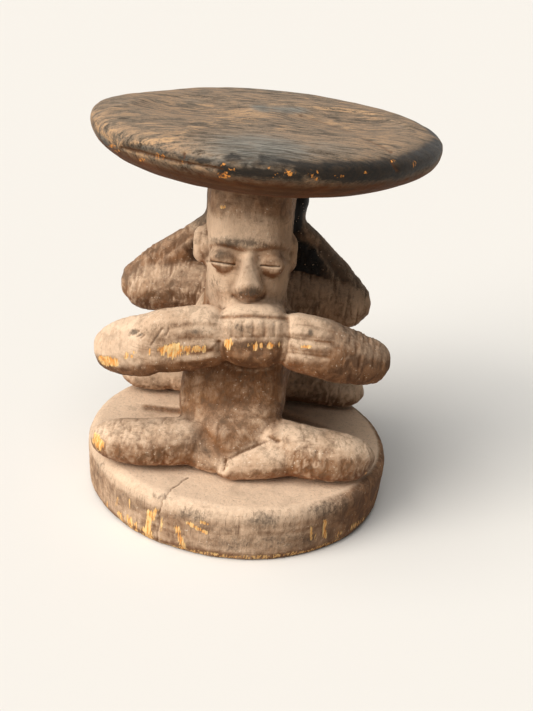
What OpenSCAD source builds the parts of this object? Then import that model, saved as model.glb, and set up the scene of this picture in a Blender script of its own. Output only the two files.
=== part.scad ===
// Caryatid stool carved from one log: a round seat on the heads of two cross-legged
// figures that sit back to back on a low drum. The front figure faces -Y and holds both
// hands at its mouth, and the back figure faces +Y with its hands over its ears.
// Left and right are those of somebody who looks at the face of the figure.

/* [Base] */
// Diameter of the drum under the figures
base_d = 358; // [346:2:400]
// Height of the drum
base_h = 66; // [54:2:86]
// Height of the rounding along the drum's top edge
base_round = 14; // [8:1:20]
// Draw-in of the drum's wall at the floor
base_foot_in = 7; // [3:1:14]
// Depth of the trenches cut behind the front figure's legs
trench_depth = 8; // [4:1:14]
// Reach of those trenches behind the middle of the stool
trench_back = 46; // [30:2:60]

/* [Seat] */
// Diameter of the seat
seat_d = 372; // [350:2:420]
// Thickness of the seat at its middle
seat_t = 58; // [52:1:76]
// Height of the rim's widest line above the seat's underside
seat_rim_h = 40; // [32:1:44]
// Width of the level middle of the underside, which the heads carry
seat_flat_d = 206; // [204:2:240]
// Width of the level middle of the seat's top
seat_crown_d = 210; // [180:2:250]
// Width of the two shallow dishes in the seat's top
dish_w = 140; // [110:2:150]
// Depth of those dishes
dish_depth = 7; // [3:1:10]

/* [Trunks and heads] */
// Height from the top of the drum to the underside of the seat
figures_h = 322; // [308:1:350]
// Sideways set of both figures from the middle of the stool
set_x = -7; // [-10:1:6]
// Thickness of the wood between the two figures
core_t = 40; // [30:1:60]
// Width of a figure at the shoulders
shoulder_w = 128; // [112:2:140]
// Height of the waist above the drum
waist_h = 50; // [44:1:56]
// Height of the shoulders above the drum
shoulder_h = 140; // [125:1:155]
// Width of a figure at the waist
waist_w = 112; // [100:2:122]
// Reach of a chest from the middle of the stool
chest_out = 76; // [68:1:84]
// Width of a head
head_w = 92; // [85:1:98]
// Reach of a brow from the middle of the stool
head_out = 103; // [98:1:103]
// Height of the seam between trunk and head above the drum
neck_h = 186; // [178:1:194]

/* [Legs] */
// Reach of a knee from the figure's middle
knee_reach = 159; // [150:1:166]
// Distance of the legs from the middle of the stool
leg_out = 95; // [88:1:100]
// Thickness of a leg as seen from the front
leg_t = 57; // [48:1:64]
// Thickness of the front figure's left leg, which is lower
low_leg_t = 49; // [42:1:56]
// Reach of the back figure's right knee, which is shorter
short_knee_reach = 147; // [140:1:154]
// Depth of a leg from front to back
leg_d = 60; // [50:1:66]
// Thickness of a foot
foot_t = 32; // [24:1:38]
// Reach of the feet from the middle of the stool
foot_out = 116; // [110:1:122]

/* [Arms] */
// Thickness of an arm
arm_t = 62; // [52:1:66]
// Reach of an elbow from the figure's middle
elbow_reach = 158; // [150:1:166]
// Reach of an elbow of the front figure from the middle of the stool
elbow_out = 67; // [60:1:72]
// Distance of a wrist of the front figure from that figure's middle
wrist_x = 90; // [84:1:96]
// Height of the front figure's left elbow above the drum
left_elbow_h = 120; // [116:1:132]
// Height of the front figure's right elbow above the drum
right_elbow_h = 134; // [124:1:142]
// Reach of the front figure's hands from the middle of the stool
hand_out = 107; // [103:1:112]
// Height of a hand at the mouth
hand_h = 64; // [54:1:68]
// Thickness of a hand
hand_t = 36; // [28:1:40]
// Reach of an elbow of the back figure from the middle of the stool
back_elbow_out = 70; // [64:1:76]
// Height of the back figure's elbows above the drum
back_elbow_h = 148; // [142:1:156]
// Height of the middle of the back figure's hands above the drum
back_hand_up = 262; // [252:1:268]

/* [Face] */
// Width of the front figure's mouth
mouth_w = 75; // [66:1:80]
// Height of the front figure's mouth
mouth_h = 70; // [62:1:76]
// Reach of the mouth from the middle of the stool
mouth_out = 127; // [122:1:132]
// Height of the middle of the mouth above the drum
mouth_up = 171; // [164:1:178]
// Sideways set of the mouth from the figure's middle
mouth_x = 12; // [0:1:14]
// Number of teeth in each row
teeth = 6; // [4:1:8]
// Width of the cuts between the teeth
tooth_gap = 2; // [1:0.5:3]
// Depth of those cuts
tooth_deep = 3; // [2:0.5:5]
// Thickness of the slit between closed lips or lids
slit_t = 1.5; // [1:0.1:2.5]
// Height of the eyes above the drum
eye_up = 246; // [240:1:252]
// Distance between the middles of the eyes
eye_gap = 50; // [44:1:52]
// Width of an eye
eye_w = 29; // [22:1:31]
// Height of an eye with both its lids
eye_h = 26; // [18:1:28]
// Width of a nose at its tip
nose_w = 31; // [24:1:36]
// Sideways set of a nose from the figure's middle
nose_x = 3; // [0:1:4]
// Length of a nose
nose_l = 46; // [38:1:50]
// Reach of a nose from the middle of the stool
nose_out = 121; // [116:1:125]
// Height of an ear
ear_h = 42; // [34:1:48]
// Stand-out of the left ear from the head
ear_out = 13; // [9:1:16]
// Stand-out of the right ear, which is flatter
flat_ear_out = 5; // [4:1:7]

/* [Hidden] */
$fn = 96;

left = -1;
right = 1;
seat_z = base_h + figures_h;
top_z = seat_z + seat_t;
limb_sides = 14;
trunk_sides = 24;
steps = 2;

dusty_wood = "#a68a66";
brown_wood = "#7d5f43";
dark_wood = "#57493b";
black_wood = "#3a3836";

// Points and rings
// A station is [x, y, z, half-width, half-height, squareness], and rings run through them.
function at(list, i) = list[max(0, min(len(list) - 1, i))];
function middle(s) = [s[0], s[1], s[2]];
function catmull(p, q, r, s, t) =
    0.5 * (2 * q + (r - p) * t + (2 * p - 5 * q + 4 * r - s) * t * t
    + (3 * q - p - 3 * r + s) * t * t * t);
function smooth(st, k) = [
    for (i = [0 : len(st) - 2], j = [0 : k - 1])
        catmull(at(st, i - 1), at(st, i), at(st, i + 1), at(st, i + 2), j / k),
    st[len(st) - 1],
];
function direction(st, i) =
    let (d = middle(at(st, i + 1)) - middle(at(st, i - 1))) d / norm(d);
function lobe(c, e) = sign(c) * pow(abs(c), 2 / e);
function ring(s, along, up, n) =
    let (u = cross(along, up) / norm(cross(along, up)), v = cross(u, along))
    [for (k = [0 : n - 1])
        middle(s) + s[3] * lobe(cos(360 * k / n), s[5]) * u
        + s[4] * lobe(sin(360 * k / n), s[5]) * v];

// A closed skin over the rings through the stations numbered from first to last
module skin(st, up, n, first = 0, last = undef) {
    end = is_undef(last) ? len(st) - 1 : last;
    rings = end - first;
    polyhedron(
        [for (i = [first : end]) each ring(st[i], direction(st, i), up, n)],
        concat(
            [[for (k = [n - 1 : -1 : 0]) k]],
            [for (i = [0 : rings - 1], k = [0 : n - 1])
                each let (a = i * n + k, b = i * n + (k + 1) % n)
                [[a, b, b + n], [a, b + n, a + n]]],
            [[for (k = [0 : n - 1]) rings * n + k]]
        )
    );
}

// A figure's own space faces -Y, with its middle at set_x
module front_figure() translate([set_x, 0, 0]) children();
module back_figure() translate([set_x, 0, 0]) rotate([0, 0, 180]) children();

// Stations of the two trunks and heads, which are one column cut by level and upright planes
hip_x = waist_w * 0.49;
waist_z = base_h + waist_h;
shoulder_z = base_h + shoulder_h;
neck_z = base_h + neck_h;
eye_z = base_h + eye_up;
function between(a, b, t) = a + (b - a) * t;
column = [
    [0, 0, base_h, hip_x, chest_out * 1.20, 2.4],
    [0, 0, between(base_h, waist_z, 0.56), hip_x, chest_out * 1.16, 2.4],
    [0, 0, waist_z, waist_w / 2, chest_out * 1.04, 2.4],
    [0, 0, between(waist_z, shoulder_z, 0.40), shoulder_w * 0.47, chest_out * 0.97, 2.4],
    [0, 0, between(waist_z, shoulder_z, 0.78), shoulder_w / 2, chest_out * 0.97, 2.5],
    [0, 0, between(shoulder_z, neck_z, 0.17), shoulder_w * 0.46, chest_out * 1.03, 2.5],
    [0, 0, between(shoulder_z, neck_z, 0.61), head_w * 0.51, chest_out * 1.10, 2.6],
    [0, 0, between(neck_z, eye_z, 0.10), head_w / 2, head_out * 0.90, 3],
    [0, 0, between(neck_z, eye_z, 0.43), head_w / 2, head_out * 0.96, 3.4],
    [0, 0, between(neck_z, eye_z, 0.73), head_w / 2, head_out * 0.98, 3.5],
    [0, 0, between(eye_z, seat_z, 0.08), head_w / 2, head_out * 0.94, 3.5],
    [0, 0, between(eye_z, seat_z, 0.25), head_w * 0.505, head_out, 3.5],
    [0, 0, between(eye_z, seat_z, 0.58), head_w / 2, head_out * 0.96, 3.4],
    [0, 0, seat_z, head_w / 2, head_out * 0.91, 3],
];
hips = [0, 4];
chest = [2, 9];
face = [6, 13];
module column_skin(part = [0, 13]) skin(column, [0, -1, 0], trunk_sides, part[0], part[1]);

// Stations of a leg from inside the trunk to the knee's tip, split from the foot at the ankle
function leg_h(side, back) = side == left && !back ? low_leg_t : leg_t;
function knee_x(side, back) =
    side == right && back ? short_knee_reach
    : side == left && !back ? knee_reach * 0.975
    : knee_reach;
function leg_stations(side, back) =
    let (t = leg_h(side, back), z = base_h + t / 2, x = knee_x(side, back))
    smooth([
        [side * waist_w * 0.20, -(leg_out - leg_d * 0.37), z - t * 0.03,
            leg_d * 0.36, t * 0.42, 2.2],
        [side * waist_w * 0.46, -(leg_out - leg_d * 0.10), z + t * 0.07,
            leg_d * 0.46, t * 0.54, 2.2],
        [side * x * 0.585, -leg_out, z + t * 0.02,
            leg_d / 2, t / 2, 2.3],
        [side * x * 0.81, -(leg_out - leg_d * 0.07), z - t * 0.03,
            leg_d * 0.46, t * 0.46, 2.3],
        [side * x * 0.94, -(leg_out - leg_d * 0.22), z - t * 0.09,
            leg_d * 0.31, t * 0.33, 2.1],
        [side * x, -(leg_out - leg_d * 0.30), z - t * 0.14,
            leg_d * 0.1, t * 0.1, 2],
    ], steps);
module leg_skin(side, back) skin(leg_stations(side, back), [0, 0, 1], limb_sides);

// Stations of a foot from inside the leg to the toes; the right foot crosses in front
function foot_stations(side, back) =
    let (out = side == right ? foot_out : foot_out - foot_t * 0.38, t = leg_h(side, back))
    smooth([
        [side * waist_w * 0.68, -(leg_out + foot_t * 0.06), base_h + t / 2,
            leg_d * 0.36, t * 0.40, 2.2],
        [side * waist_w * 0.41, -(out - foot_t * 0.31), base_h + foot_t * 0.75,
            foot_t * 0.62, foot_t * 0.66, 2.2],
        [side * waist_w * 0.19, -(out - foot_t * 0.19), base_h + foot_t * 0.59,
            foot_t * 0.56, foot_t * 0.56, 2.2],
        [side * waist_w * -0.02, -(out - foot_t * 0.09), base_h + foot_t * 0.38,
            foot_t * 0.44, foot_t * 0.41, 2.2],
        [side * waist_w * -0.11, -out, base_h + foot_t * 0.25,
            foot_t * 0.16, foot_t * 0.19, 2],
    ], steps);
module foot_skin(side, back) skin(foot_stations(side, back), [0, 0, 1], limb_sides);

// Stations of the front figure's arm from the elbow's tip to the fingertips
function elbow_z(side) = base_h + (side == left ? left_elbow_h : right_elbow_h);
mouth_z = base_h + mouth_up;
hand_z = mouth_z - mouth_h * 0.09;
function fingertip_x(side) = mouth_w / 2 + side * mouth_x;
wrist_station = 4 * steps;
function arm_stations(side) =
    let (z = elbow_z(side), tip_x = fingertip_x(side),
        heel = side == left ? hand_h * 0.1 : 0, swell = side == left ? arm_t * 0.04 : 0,
        reach = elbow_reach * (side == left ? 0.985 : 1.025))
    smooth([
        [side * reach, -elbow_out, z - arm_t * 0.06, arm_t * 0.1, arm_t * 0.1, 2],
        [side * reach * 0.945, -elbow_out * 1.03, z - arm_t * 0.01,
            arm_t * 0.32, arm_t * 0.34, 2.1],
        [side * reach * 0.80, -elbow_out * 1.19, z + arm_t * 0.13 + swell,
            arm_t * 0.45, arm_t * 0.46 + swell, 2.2],
        [side * elbow_reach * 0.645, -elbow_out * 1.39, z + arm_t * 0.29 + swell,
            arm_t * 0.46, arm_t / 2 + swell, 2.2],
        [side * wrist_x, -(hand_out - hand_t * 0.17), hand_z - hand_h * 0.09 - heel * 1.6,
            arm_t * 0.43, hand_h / 2, 2.2],
        [side * wrist_x * 0.82, -hand_out, hand_z - heel * 1.5,
            hand_t * 0.56, hand_h / 2 + heel / 2, 2.4],
        [side * (tip_x + hand_t * 0.14), -hand_out, hand_z + hand_h * 0.05 - heel * 0.4,
            hand_t / 2, hand_h * 0.49 + heel * 0.4, 2.5],
        [side * (tip_x - hand_t * 0.22), -(hand_out - hand_t * 0.06), hand_z + hand_h * 0.05,
            hand_t * 0.4, hand_h * 0.4, 2.4],
    ], steps);
module arm_skin(side) skin(arm_stations(side), [0, 0, 1], limb_sides);

// Stations of the front figure's upper arm, which stays low behind the forearm
function upper_arm_stations(side) =
    let (z = elbow_z(side))
    smooth([
        [side * shoulder_w * 0.23, -elbow_out * 0.39, z + arm_t * 0.23,
            arm_t * 0.36, arm_t * 0.40, 2.2],
        [side * shoulder_w * 0.62, -elbow_out * 0.66, z + arm_t * 0.15,
            arm_t * 0.39, arm_t * 0.42, 2.2],
        [side * elbow_reach * 0.77, -elbow_out, z + arm_t * 0.06,
            arm_t * 0.36, arm_t * 0.38, 2.2],
    ], steps);
module upper_arm_skin(side) skin(upper_arm_stations(side), [0, 0, 1], limb_sides);

// Stations of the back figure's upper arm from inside the trunk to the elbow's tip
back_elbow_z = base_h + back_elbow_h;
function back_upper_arm_stations(side) = smooth([
    [side * shoulder_w * 0.27, -back_elbow_out * 0.66, back_elbow_z + arm_t * 0.18,
        arm_t * 0.40, arm_t * 0.48, 2.2],
    [side * shoulder_w * 0.59, -back_elbow_out * 0.89, back_elbow_z + arm_t * 0.15,
        arm_t * 0.45, arm_t * 0.51, 2.2],
    [side * elbow_reach * 0.735, -back_elbow_out, back_elbow_z + arm_t * 0.01,
        arm_t * 0.45, arm_t * 0.52, 2.2],
    [side * elbow_reach * 0.875, -back_elbow_out, back_elbow_z - arm_t * 0.01,
        arm_t * 0.38, arm_t * 0.40, 2.1],
    [side * elbow_reach * 0.955, -back_elbow_out * 0.97, back_elbow_z - arm_t * 0.02,
        arm_t * 0.10, arm_t * 0.15, 2],
], steps);
module back_upper_arm_skin(side)
    skin(back_upper_arm_stations(side), [0, 0, 1], limb_sides);

// Stations of the back figure's forearm and hand, which rise from the elbow to the ear
back_hand_z = base_h + back_hand_up;
back_hand_x = head_w * 0.535;
function palm_x(side) = back_hand_x * (side == right ? 0.88 : 1);
back_wrist_station = 2 * steps;
function back_forearm_stations(side) = smooth([
    [side * elbow_reach * 0.835, -back_elbow_out * 1.03, back_elbow_z + arm_t * 0.10,
        arm_t * 0.33, arm_t * 0.36, 2.1],
    [side * back_hand_x * 2.30, -back_elbow_out * 1.09, back_elbow_z + arm_t * 0.60,
        arm_t * 0.18, arm_t * 0.29, 2.1],
    [side * palm_x(side) * 1.58, -back_elbow_out * 1.09, back_hand_z - hand_h * 0.64,
        arm_t * 0.13, arm_t * 0.27, 2.1],
    [side * palm_x(side) * 1.02, -back_elbow_out * 1.03, back_hand_z - hand_h * 0.31,
        hand_t * 0.34, hand_h * 0.34, 2.3],
    [side * palm_x(side), -back_elbow_out, back_hand_z + hand_h * 0.13,
        hand_t * 0.37, hand_h * 0.36, 2.4],
    [side * palm_x(side), -back_elbow_out * 0.99, back_hand_z + hand_h * 0.41,
        hand_t * 0.26, hand_h * 0.28, 2.2],
], steps);

// The drum: a bowed wall between a drawn-in foot and a rounded top edge
module drum() {
    wall_r = base_d / 2;
    rotate_extrude() polygon(concat(
        [[0, 0], [wall_r - base_foot_in, 0], [wall_r - base_foot_in * 0.35, base_h * 0.16]],
        [for (a = [0 : 15 : 90])
            [wall_r - base_round * 0.8 * (1 - cos(a)), base_h - base_round * (1 - sin(a))]],
        [[0, base_h]]
    ));
}

// Trenches between the front legs and the middle of the drum's top; the right one runs aslant
module trench(side) {
    near = -(leg_out - leg_d * 0.57);
    far_x = knee_reach * 0.91;
    slant = side == right ? trench_back * 0.65 : 0;
    translate([set_x, 0, base_h - trench_depth])
        mirror([side == left ? 1 : 0, 0, 0])
            linear_extrude(2 * trench_depth)
                polygon([[hip_x, near], [far_x, near], [far_x, trench_back - slant],
                         [hip_x, trench_back + slant * 0.6]]);
}

module base() color(dusty_wood) difference() {
    drum();
    trench(left);
    trench(right);
}

// The seat: a level underside, a full rim and a nearly level top with two shallow dishes
rim_z = seat_z + seat_rim_h;
module seat_body() {
    rim_r = seat_d / 2;
    under_r = seat_flat_d / 2;
    crown_r = seat_crown_d / 2;
    rotate_extrude() polygon(concat(
        [[0, seat_z]],
        [for (a = [0 : 10 : 80])
            [under_r + (rim_r - under_r) * sin(a), rim_z - seat_rim_h * cos(a)]],
        [for (a = [90 : -10 : 0])
            [crown_r + (rim_r - crown_r) * lobe(sin(a), 3), rim_z + (top_z - rim_z) * lobe(cos(a), 3)]],
        [[0, top_z]]
    ));
}
module dish(side) {
    dish_r = (pow(dish_w / 2, 2) + pow(dish_depth, 2)) / (2 * dish_depth);
    translate([side * seat_crown_d * 0.385, 0, top_z - dish_depth + dish_r])
        sphere(dish_r, $fn = 200);
}
module seat() color(dark_wood) difference() {
    seat_body();
    dish(left);
    dish(right);
}

// The two trunks, the two heads and the core between them are cuts of one column
module block(z0, z1, y0, y1)
    translate([-shoulder_w, y0, z0]) cube([2 * shoulder_w, y1 - y0, z1 - z0]);
module core() color(brown_wood) front_figure() intersection() {
    column_skin();
    block(0, top_z, -core_t / 2, core_t / 2);
}
module trunk() color(brown_wood) intersection() {
    column_skin();
    block(0, neck_z, -2 * head_out, -core_t / 2);
}
module head() color(dusty_wood) intersection() {
    column_skin();
    block(neck_z, top_z, -2 * head_out, -core_t / 2);
}

// The front figure's chest and belly, which swell out over the crossed legs and narrow between
// them, and which are fuller on the left
module belly_skin() skin(smooth([
    [waist_w * -0.02, -chest_out * 0.60, between(waist_z, shoulder_z, 0.84),
        waist_w * 0.49, leg_d * 0.40, 2.4],
    [waist_w * -0.035, -chest_out * 0.67, between(waist_z, shoulder_z, 0.42),
        waist_w * 0.53, leg_d * 0.48, 2.4],
    [waist_w * -0.035, -chest_out * 0.82, waist_z + waist_h * 0.20, waist_w * 0.53, leg_d * 0.46, 2.4],
    [waist_w * -0.01, -chest_out * 1.03, waist_z - waist_h * 0.12, waist_w * 0.45, leg_d * 0.46, 2.3],
    [waist_w * -0.03, -chest_out * 1.17, waist_z - waist_h * 0.38, waist_w * 0.27, leg_d * 0.44, 2.2],
    [waist_w * -0.055, -chest_out * 1.23, waist_z - waist_h * 0.60, waist_w * 0.09, leg_d * 0.36, 2.1],
    [waist_w * -0.06, -chest_out * 1.21, waist_z - waist_h * 0.80, waist_w * 0.03, leg_d * 0.23, 2],
], steps), [0, -1, 0], limb_sides);
module front_trunk() color(brown_wood) union() {
    trunk();
    belly_skin();
}

module below_base() translate([-base_d, -base_d, -base_h]) cube([2 * base_d, 2 * base_d, 2 * base_h]);

module leg(side, back = false) color(dusty_wood) difference() {
    leg_skin(side, back);
    column_skin(hips);
    if (!back) belly_skin();
    below_base();
}
module foot(side, back = false) color(dusty_wood) difference() {
    foot_skin(side, back);
    leg_skin(side, back);
    column_skin(hips);
    if (!back) belly_skin();
    if (side == left) {
        foot_skin(right, back);
        leg_skin(right, back);
    }
    below_base();
}

module upper_arm(side) color(brown_wood) difference() {
    upper_arm_skin(side);
    column_skin(chest);
    belly_skin();
    arm_skin(side);
}
module forearm(side) color(dusty_wood)
    skin(arm_stations(side), [0, 0, 1], limb_sides, 0, wrist_station);
module hand(side) color(dusty_wood) difference() {
    skin(arm_stations(side), [0, 0, 1], limb_sides, wrist_station);
    mouth_skin();
    column_skin(chest);
}

module back_upper_arm(side) color(brown_wood) difference() {
    back_upper_arm_skin(side);
    column_skin(chest);
}
module back_hand_skin(side)
    skin(back_forearm_stations(side), [0, -1, 0], limb_sides, back_wrist_station);

// The wood left standing between the head, the upper arm and the forearm
module back_arm_web(side) difference() {
    translate([0, -back_elbow_out * 0.74, 0]) rotate([90, 0, 0])
        linear_extrude(back_elbow_out * 0.28)
            polygon([
                [side * head_w * 0.40, back_elbow_z],
                [side * back_hand_x * 2.22, back_elbow_z + arm_t * 0.55],
                [side * palm_x(side) * 1.54, back_hand_z - hand_h * 0.66],
                [side * head_w * 0.40, back_hand_z - hand_h * 0.40],
            ]);
    column_skin();
    back_hand_skin(side);
}
module back_forearm(side) color(brown_wood) difference() {
    union() {
        skin(back_forearm_stations(side), [0, -1, 0], limb_sides, 0, back_wrist_station);
        back_arm_web(side);
    }
    back_upper_arm_skin(side);
}
module back_hand(side) color(black_wood) difference() {
    back_hand_skin(side);
    column_skin(face);
}

// The front figure's mouth: a bowed block with two rows of square teeth
module mouth_skin(inset = 0) {
    half_w = mouth_w / 2;
    half_h = mouth_h / 2;
    skin(smooth([
        [mouth_x, -head_out * 0.67, mouth_z, half_w * 0.92 - inset, half_h * 0.92 - inset, 2.4],
        [mouth_x, -mouth_out * 0.86, mouth_z, half_w - inset, half_h - inset, 2.6],
        [mouth_x, -mouth_out * 0.945 + inset, mouth_z, half_w * 0.9 - inset, half_h * 0.9 - inset, 2.6],
        [mouth_x, -mouth_out + inset, mouth_z, half_w * 0.6, half_h * 0.6, 2.6],
    ], steps), [0, 0, 1], 20);
}
tooth_w = mouth_w * 0.84 / teeth;
tooth_h = mouth_h * 0.20;
row_gap = mouth_h * 0.47;
module tooth_cuts(z)
    for (i = [0 : teeth])
        translate([mouth_x + (i - teeth / 2) * tooth_w, -mouth_out, z])
            cube([tooth_gap, 2 * row_gap, tooth_h], center = true);
module mouth() color(dusty_wood) difference() {
    mouth_skin();
    column_skin(chest);
    difference() {
        union() {
            tooth_cuts(mouth_z + row_gap / 2);
            tooth_cuts(mouth_z - row_gap / 2);
        }
        mouth_skin(tooth_deep);
    }
}

// A slit as wide as w between closed lips or lids, in the face at height z
module slit(x, z, w)
    translate([x, -head_out * 1.07, z]) cube([w, head_out * 0.08, slit_t], center = true);

// The back figure's mouth: closed lips
module back_mouth() color(brown_wood) difference() {
    lips_z = mouth_z + mouth_h * 0.20;
    skin(smooth([
        [0, -head_out * 0.77, lips_z, mouth_w * 0.30, mouth_h * 0.17, 2.2],
        [0, -head_out * 1.01, lips_z, mouth_w * 0.28, mouth_h * 0.16, 2.2],
        [0, -head_out * 1.07, lips_z, mouth_w * 0.18, mouth_h * 0.10, 2.2],
    ], steps), [0, 0, 1], limb_sides);
    column_skin();
    slit(0, lips_z, mouth_w);
}

nose_z = eye_z + nose_l * 0.39;
module nose() color(dusty_wood) difference() {
    skin(smooth([
        [nose_x, -head_out * 0.92, nose_z, nose_w * 0.16, nose_w * 0.16, 2],
        [nose_x, -head_out * 0.96, nose_z - nose_l * 0.35, nose_w * 0.23, nose_w * 0.26, 2.1],
        [nose_x, -nose_out * 0.89, nose_z - nose_l * 0.68, nose_w * 0.37, nose_w * 0.35, 2.2],
        [nose_x, -nose_out * 0.885, nose_z - nose_l * 0.90, nose_w / 2, nose_w * 0.45, 2.3],
        [nose_x, -nose_out * 0.875, nose_z - nose_l, nose_w * 0.42, nose_w * 0.39, 2.2],
    ], steps), [0, -1, 0], limb_sides);
    column_skin(face);
}

module eye(side, back = false) color(dark_wood) difference() {
    eye_x = side * eye_gap / 2;
    skin(smooth([
        [eye_x, -head_out * 0.825, eye_z, eye_w / 2, eye_h / 2, 2],
        [eye_x, -head_out * 0.95, eye_z, eye_w * 0.48, eye_h * 0.46, 2],
        [eye_x, -head_out * 1.01, eye_z, eye_w * 0.28, eye_h * 0.26, 2],
    ], steps), [0, 0, 1], limb_sides);
    column_skin(face);
    if (back) back_hand_skin(side);
    slit(eye_x, eye_z - eye_h * 0.04, eye_w);
}

ear_y = -head_out * 0.43;
module ear(side) color(dusty_wood) difference() {
    out = side == left ? ear_out : flat_ear_out;
    skin(smooth([
        [side * head_w * 0.39, ear_y, eye_z - ear_h * 0.07, ear_h * 0.36, ear_h / 2, 2.2],
        [side * (head_w / 2 + out * 0.6), ear_y, eye_z - ear_h * 0.07, ear_h * 0.31, ear_h * 0.47, 2.2],
        [side * (head_w / 2 + out), ear_y, eye_z - ear_h * 0.07, ear_h * 0.17, ear_h * 0.30, 2.2],
    ], steps), [0, 0, 1], limb_sides);
    column_skin(face);
}

base();
seat();
core();
front_figure() front_trunk();
front_figure() head();  // front_head
front_figure() nose();  // front_nose
front_figure() mouth();  // front_mouth
front_figure() eye(left);  // front_eye_left
front_figure() eye(right);  // front_eye_right
front_figure() ear(left);  // front_ear_left
front_figure() ear(right);  // front_ear_right
front_figure() upper_arm(left);  // front_upper_arm_left
front_figure() upper_arm(right);  // front_upper_arm_right
front_figure() forearm(left);  // front_forearm_left
front_figure() forearm(right);  // front_forearm_right
front_figure() hand(left);  // front_hand_left
front_figure() hand(right);  // front_hand_right
front_figure() leg(left);  // front_leg_left
front_figure() leg(right);  // front_leg_right
front_figure() foot(left);  // front_foot_left
front_figure() foot(right);  // front_foot_right
back_figure() trunk();  // back_trunk
back_figure() head();  // back_head
back_figure() nose();  // back_nose
back_figure() back_mouth();
back_figure() eye(left, back = true);  // back_eye_left
back_figure() eye(right, back = true);  // back_eye_right
back_figure() back_upper_arm(left);  // back_upper_arm_left
back_figure() back_upper_arm(right);  // back_upper_arm_right
back_figure() back_forearm(left);  // back_forearm_left
back_figure() back_forearm(right);  // back_forearm_right
back_figure() back_hand(left);  // back_hand_left
back_figure() back_hand(right);  // back_hand_right
back_figure() leg(left, back = true);  // back_leg_left
back_figure() leg(right, back = true);  // back_leg_right
back_figure() foot(left, back = true);  // back_foot_left
back_figure() foot(right, back = true);  // back_foot_right
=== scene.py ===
"""Looks of a one-log caryatid stool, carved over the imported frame."""

import math
from contextlib import contextmanager
from itertools import product

import bmesh
import bpy
import numpy as np
from mathutils import Matrix, Vector
from mathutils.bvhtree import BVHTree


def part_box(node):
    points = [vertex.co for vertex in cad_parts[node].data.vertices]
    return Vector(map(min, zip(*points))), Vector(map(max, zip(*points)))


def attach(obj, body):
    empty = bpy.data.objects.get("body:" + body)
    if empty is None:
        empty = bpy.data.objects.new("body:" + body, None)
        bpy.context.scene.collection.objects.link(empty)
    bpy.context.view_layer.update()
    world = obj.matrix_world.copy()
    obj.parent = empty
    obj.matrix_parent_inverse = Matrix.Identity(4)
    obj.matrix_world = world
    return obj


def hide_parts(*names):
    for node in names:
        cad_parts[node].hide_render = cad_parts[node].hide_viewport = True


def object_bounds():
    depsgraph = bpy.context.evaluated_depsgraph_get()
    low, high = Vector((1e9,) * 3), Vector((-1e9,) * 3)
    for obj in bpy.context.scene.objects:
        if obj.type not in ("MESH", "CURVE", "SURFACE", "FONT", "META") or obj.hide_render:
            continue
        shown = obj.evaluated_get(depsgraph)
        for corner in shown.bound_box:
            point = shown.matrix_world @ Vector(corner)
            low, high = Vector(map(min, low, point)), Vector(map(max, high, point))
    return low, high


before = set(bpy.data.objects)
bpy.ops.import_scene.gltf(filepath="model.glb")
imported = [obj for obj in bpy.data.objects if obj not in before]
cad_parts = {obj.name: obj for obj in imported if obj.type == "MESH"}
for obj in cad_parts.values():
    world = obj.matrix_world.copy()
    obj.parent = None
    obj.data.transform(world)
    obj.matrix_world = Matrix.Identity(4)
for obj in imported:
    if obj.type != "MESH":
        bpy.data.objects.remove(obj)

bl_info = {
    "name": "Caryatid Stool",
    "version": (1, 0, 0),
    "blender": (4, 5, 0),
    "location": "View3D > Sidebar > Stool",
    "description": "Carves, dusts and lights a round stool on two seated figures",
    "category": "Object",
}

CAD_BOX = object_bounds()
MM = 0.001

# The camera stands in front of the stool, looks down and is rolled a little.
IMAGE_W, IMAGE_H = 533, 711
FOCAL_PX = 1000.0
SENSOR_MM = 36.0
CAMERA_AT = Vector((0.0, -1.065, 0.641))
CAMERA_PITCH = math.radians(24.0)
CAMERA_YAW = math.radians(-1.27)
CAMERA_ROLL = math.radians(5.97)

SEAT_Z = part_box("seat")[0].z
SEAT_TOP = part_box("seat")[1].z
BASE_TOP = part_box("base")[1].z
BASE_R = (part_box("base")[1].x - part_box("base")[0].x) / 2
FIGURE_X = sum(corner.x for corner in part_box("core")) / 2
CORE_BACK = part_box("core")[1].y
# Faces and hands have a finer grid beyond this distance from the middle of the stool.
FINE_BEYOND = 72 * MM
# More than the depth of the trenches in the drum.
TRENCH_DEPTH = 20 * MM
# The figures' skin runs on into the drum and the seat by this much.
REACH = 6 * MM
# Large primes that scatter the noise's lattice.
PRIMES = (73856093, 19349663, 83492791, 2971215073, 1274126177)
# The front head's lean, and where the painted shadow of the seat begins on the column and the head's dust
# ends, each from one height to another.
LEAN_Z = (300 * MM, 350 * MM)
SEAT_SHADOW_Z = (342 * MM, 362 * MM)
# How far a surface turns to the viewer before marks begin to take on it, and take in full.
TAKES_MARKS = (0.02, 0.25)
# The share of a chip's radius over which its edge fades.
CHIP_EDGE = 0.6
# Unvarnished wood throws back little light at a slant.
WOOD_SPECULAR = 0.2

FRONT_NODES = [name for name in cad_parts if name.startswith("front_")] + ["core"]
BACK_NODES = [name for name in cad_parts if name.startswith("back_")]


def linear(hex_colour):
    """The linear colour of an sRGB hex value."""
    parts = [int(hex_colour[i:i + 2], 16) / 255 for i in (1, 3, 5)]
    return tuple(c / 12.92 if c <= 0.04045 else ((c + 0.055) / 1.055) ** 2.4 for c in parts)


def add_object(name, data):
    """A new object in the scene."""
    made = bpy.data.objects.new(name, data)
    bpy.context.scene.collection.objects.link(made)
    return made


@contextmanager
def shaping(mesh):
    """A bmesh of the mesh, which is written back at the end."""
    shape = bmesh.new()
    shape.from_mesh(mesh)
    yield shape
    shape.to_mesh(mesh)
    shape.free()


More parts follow.
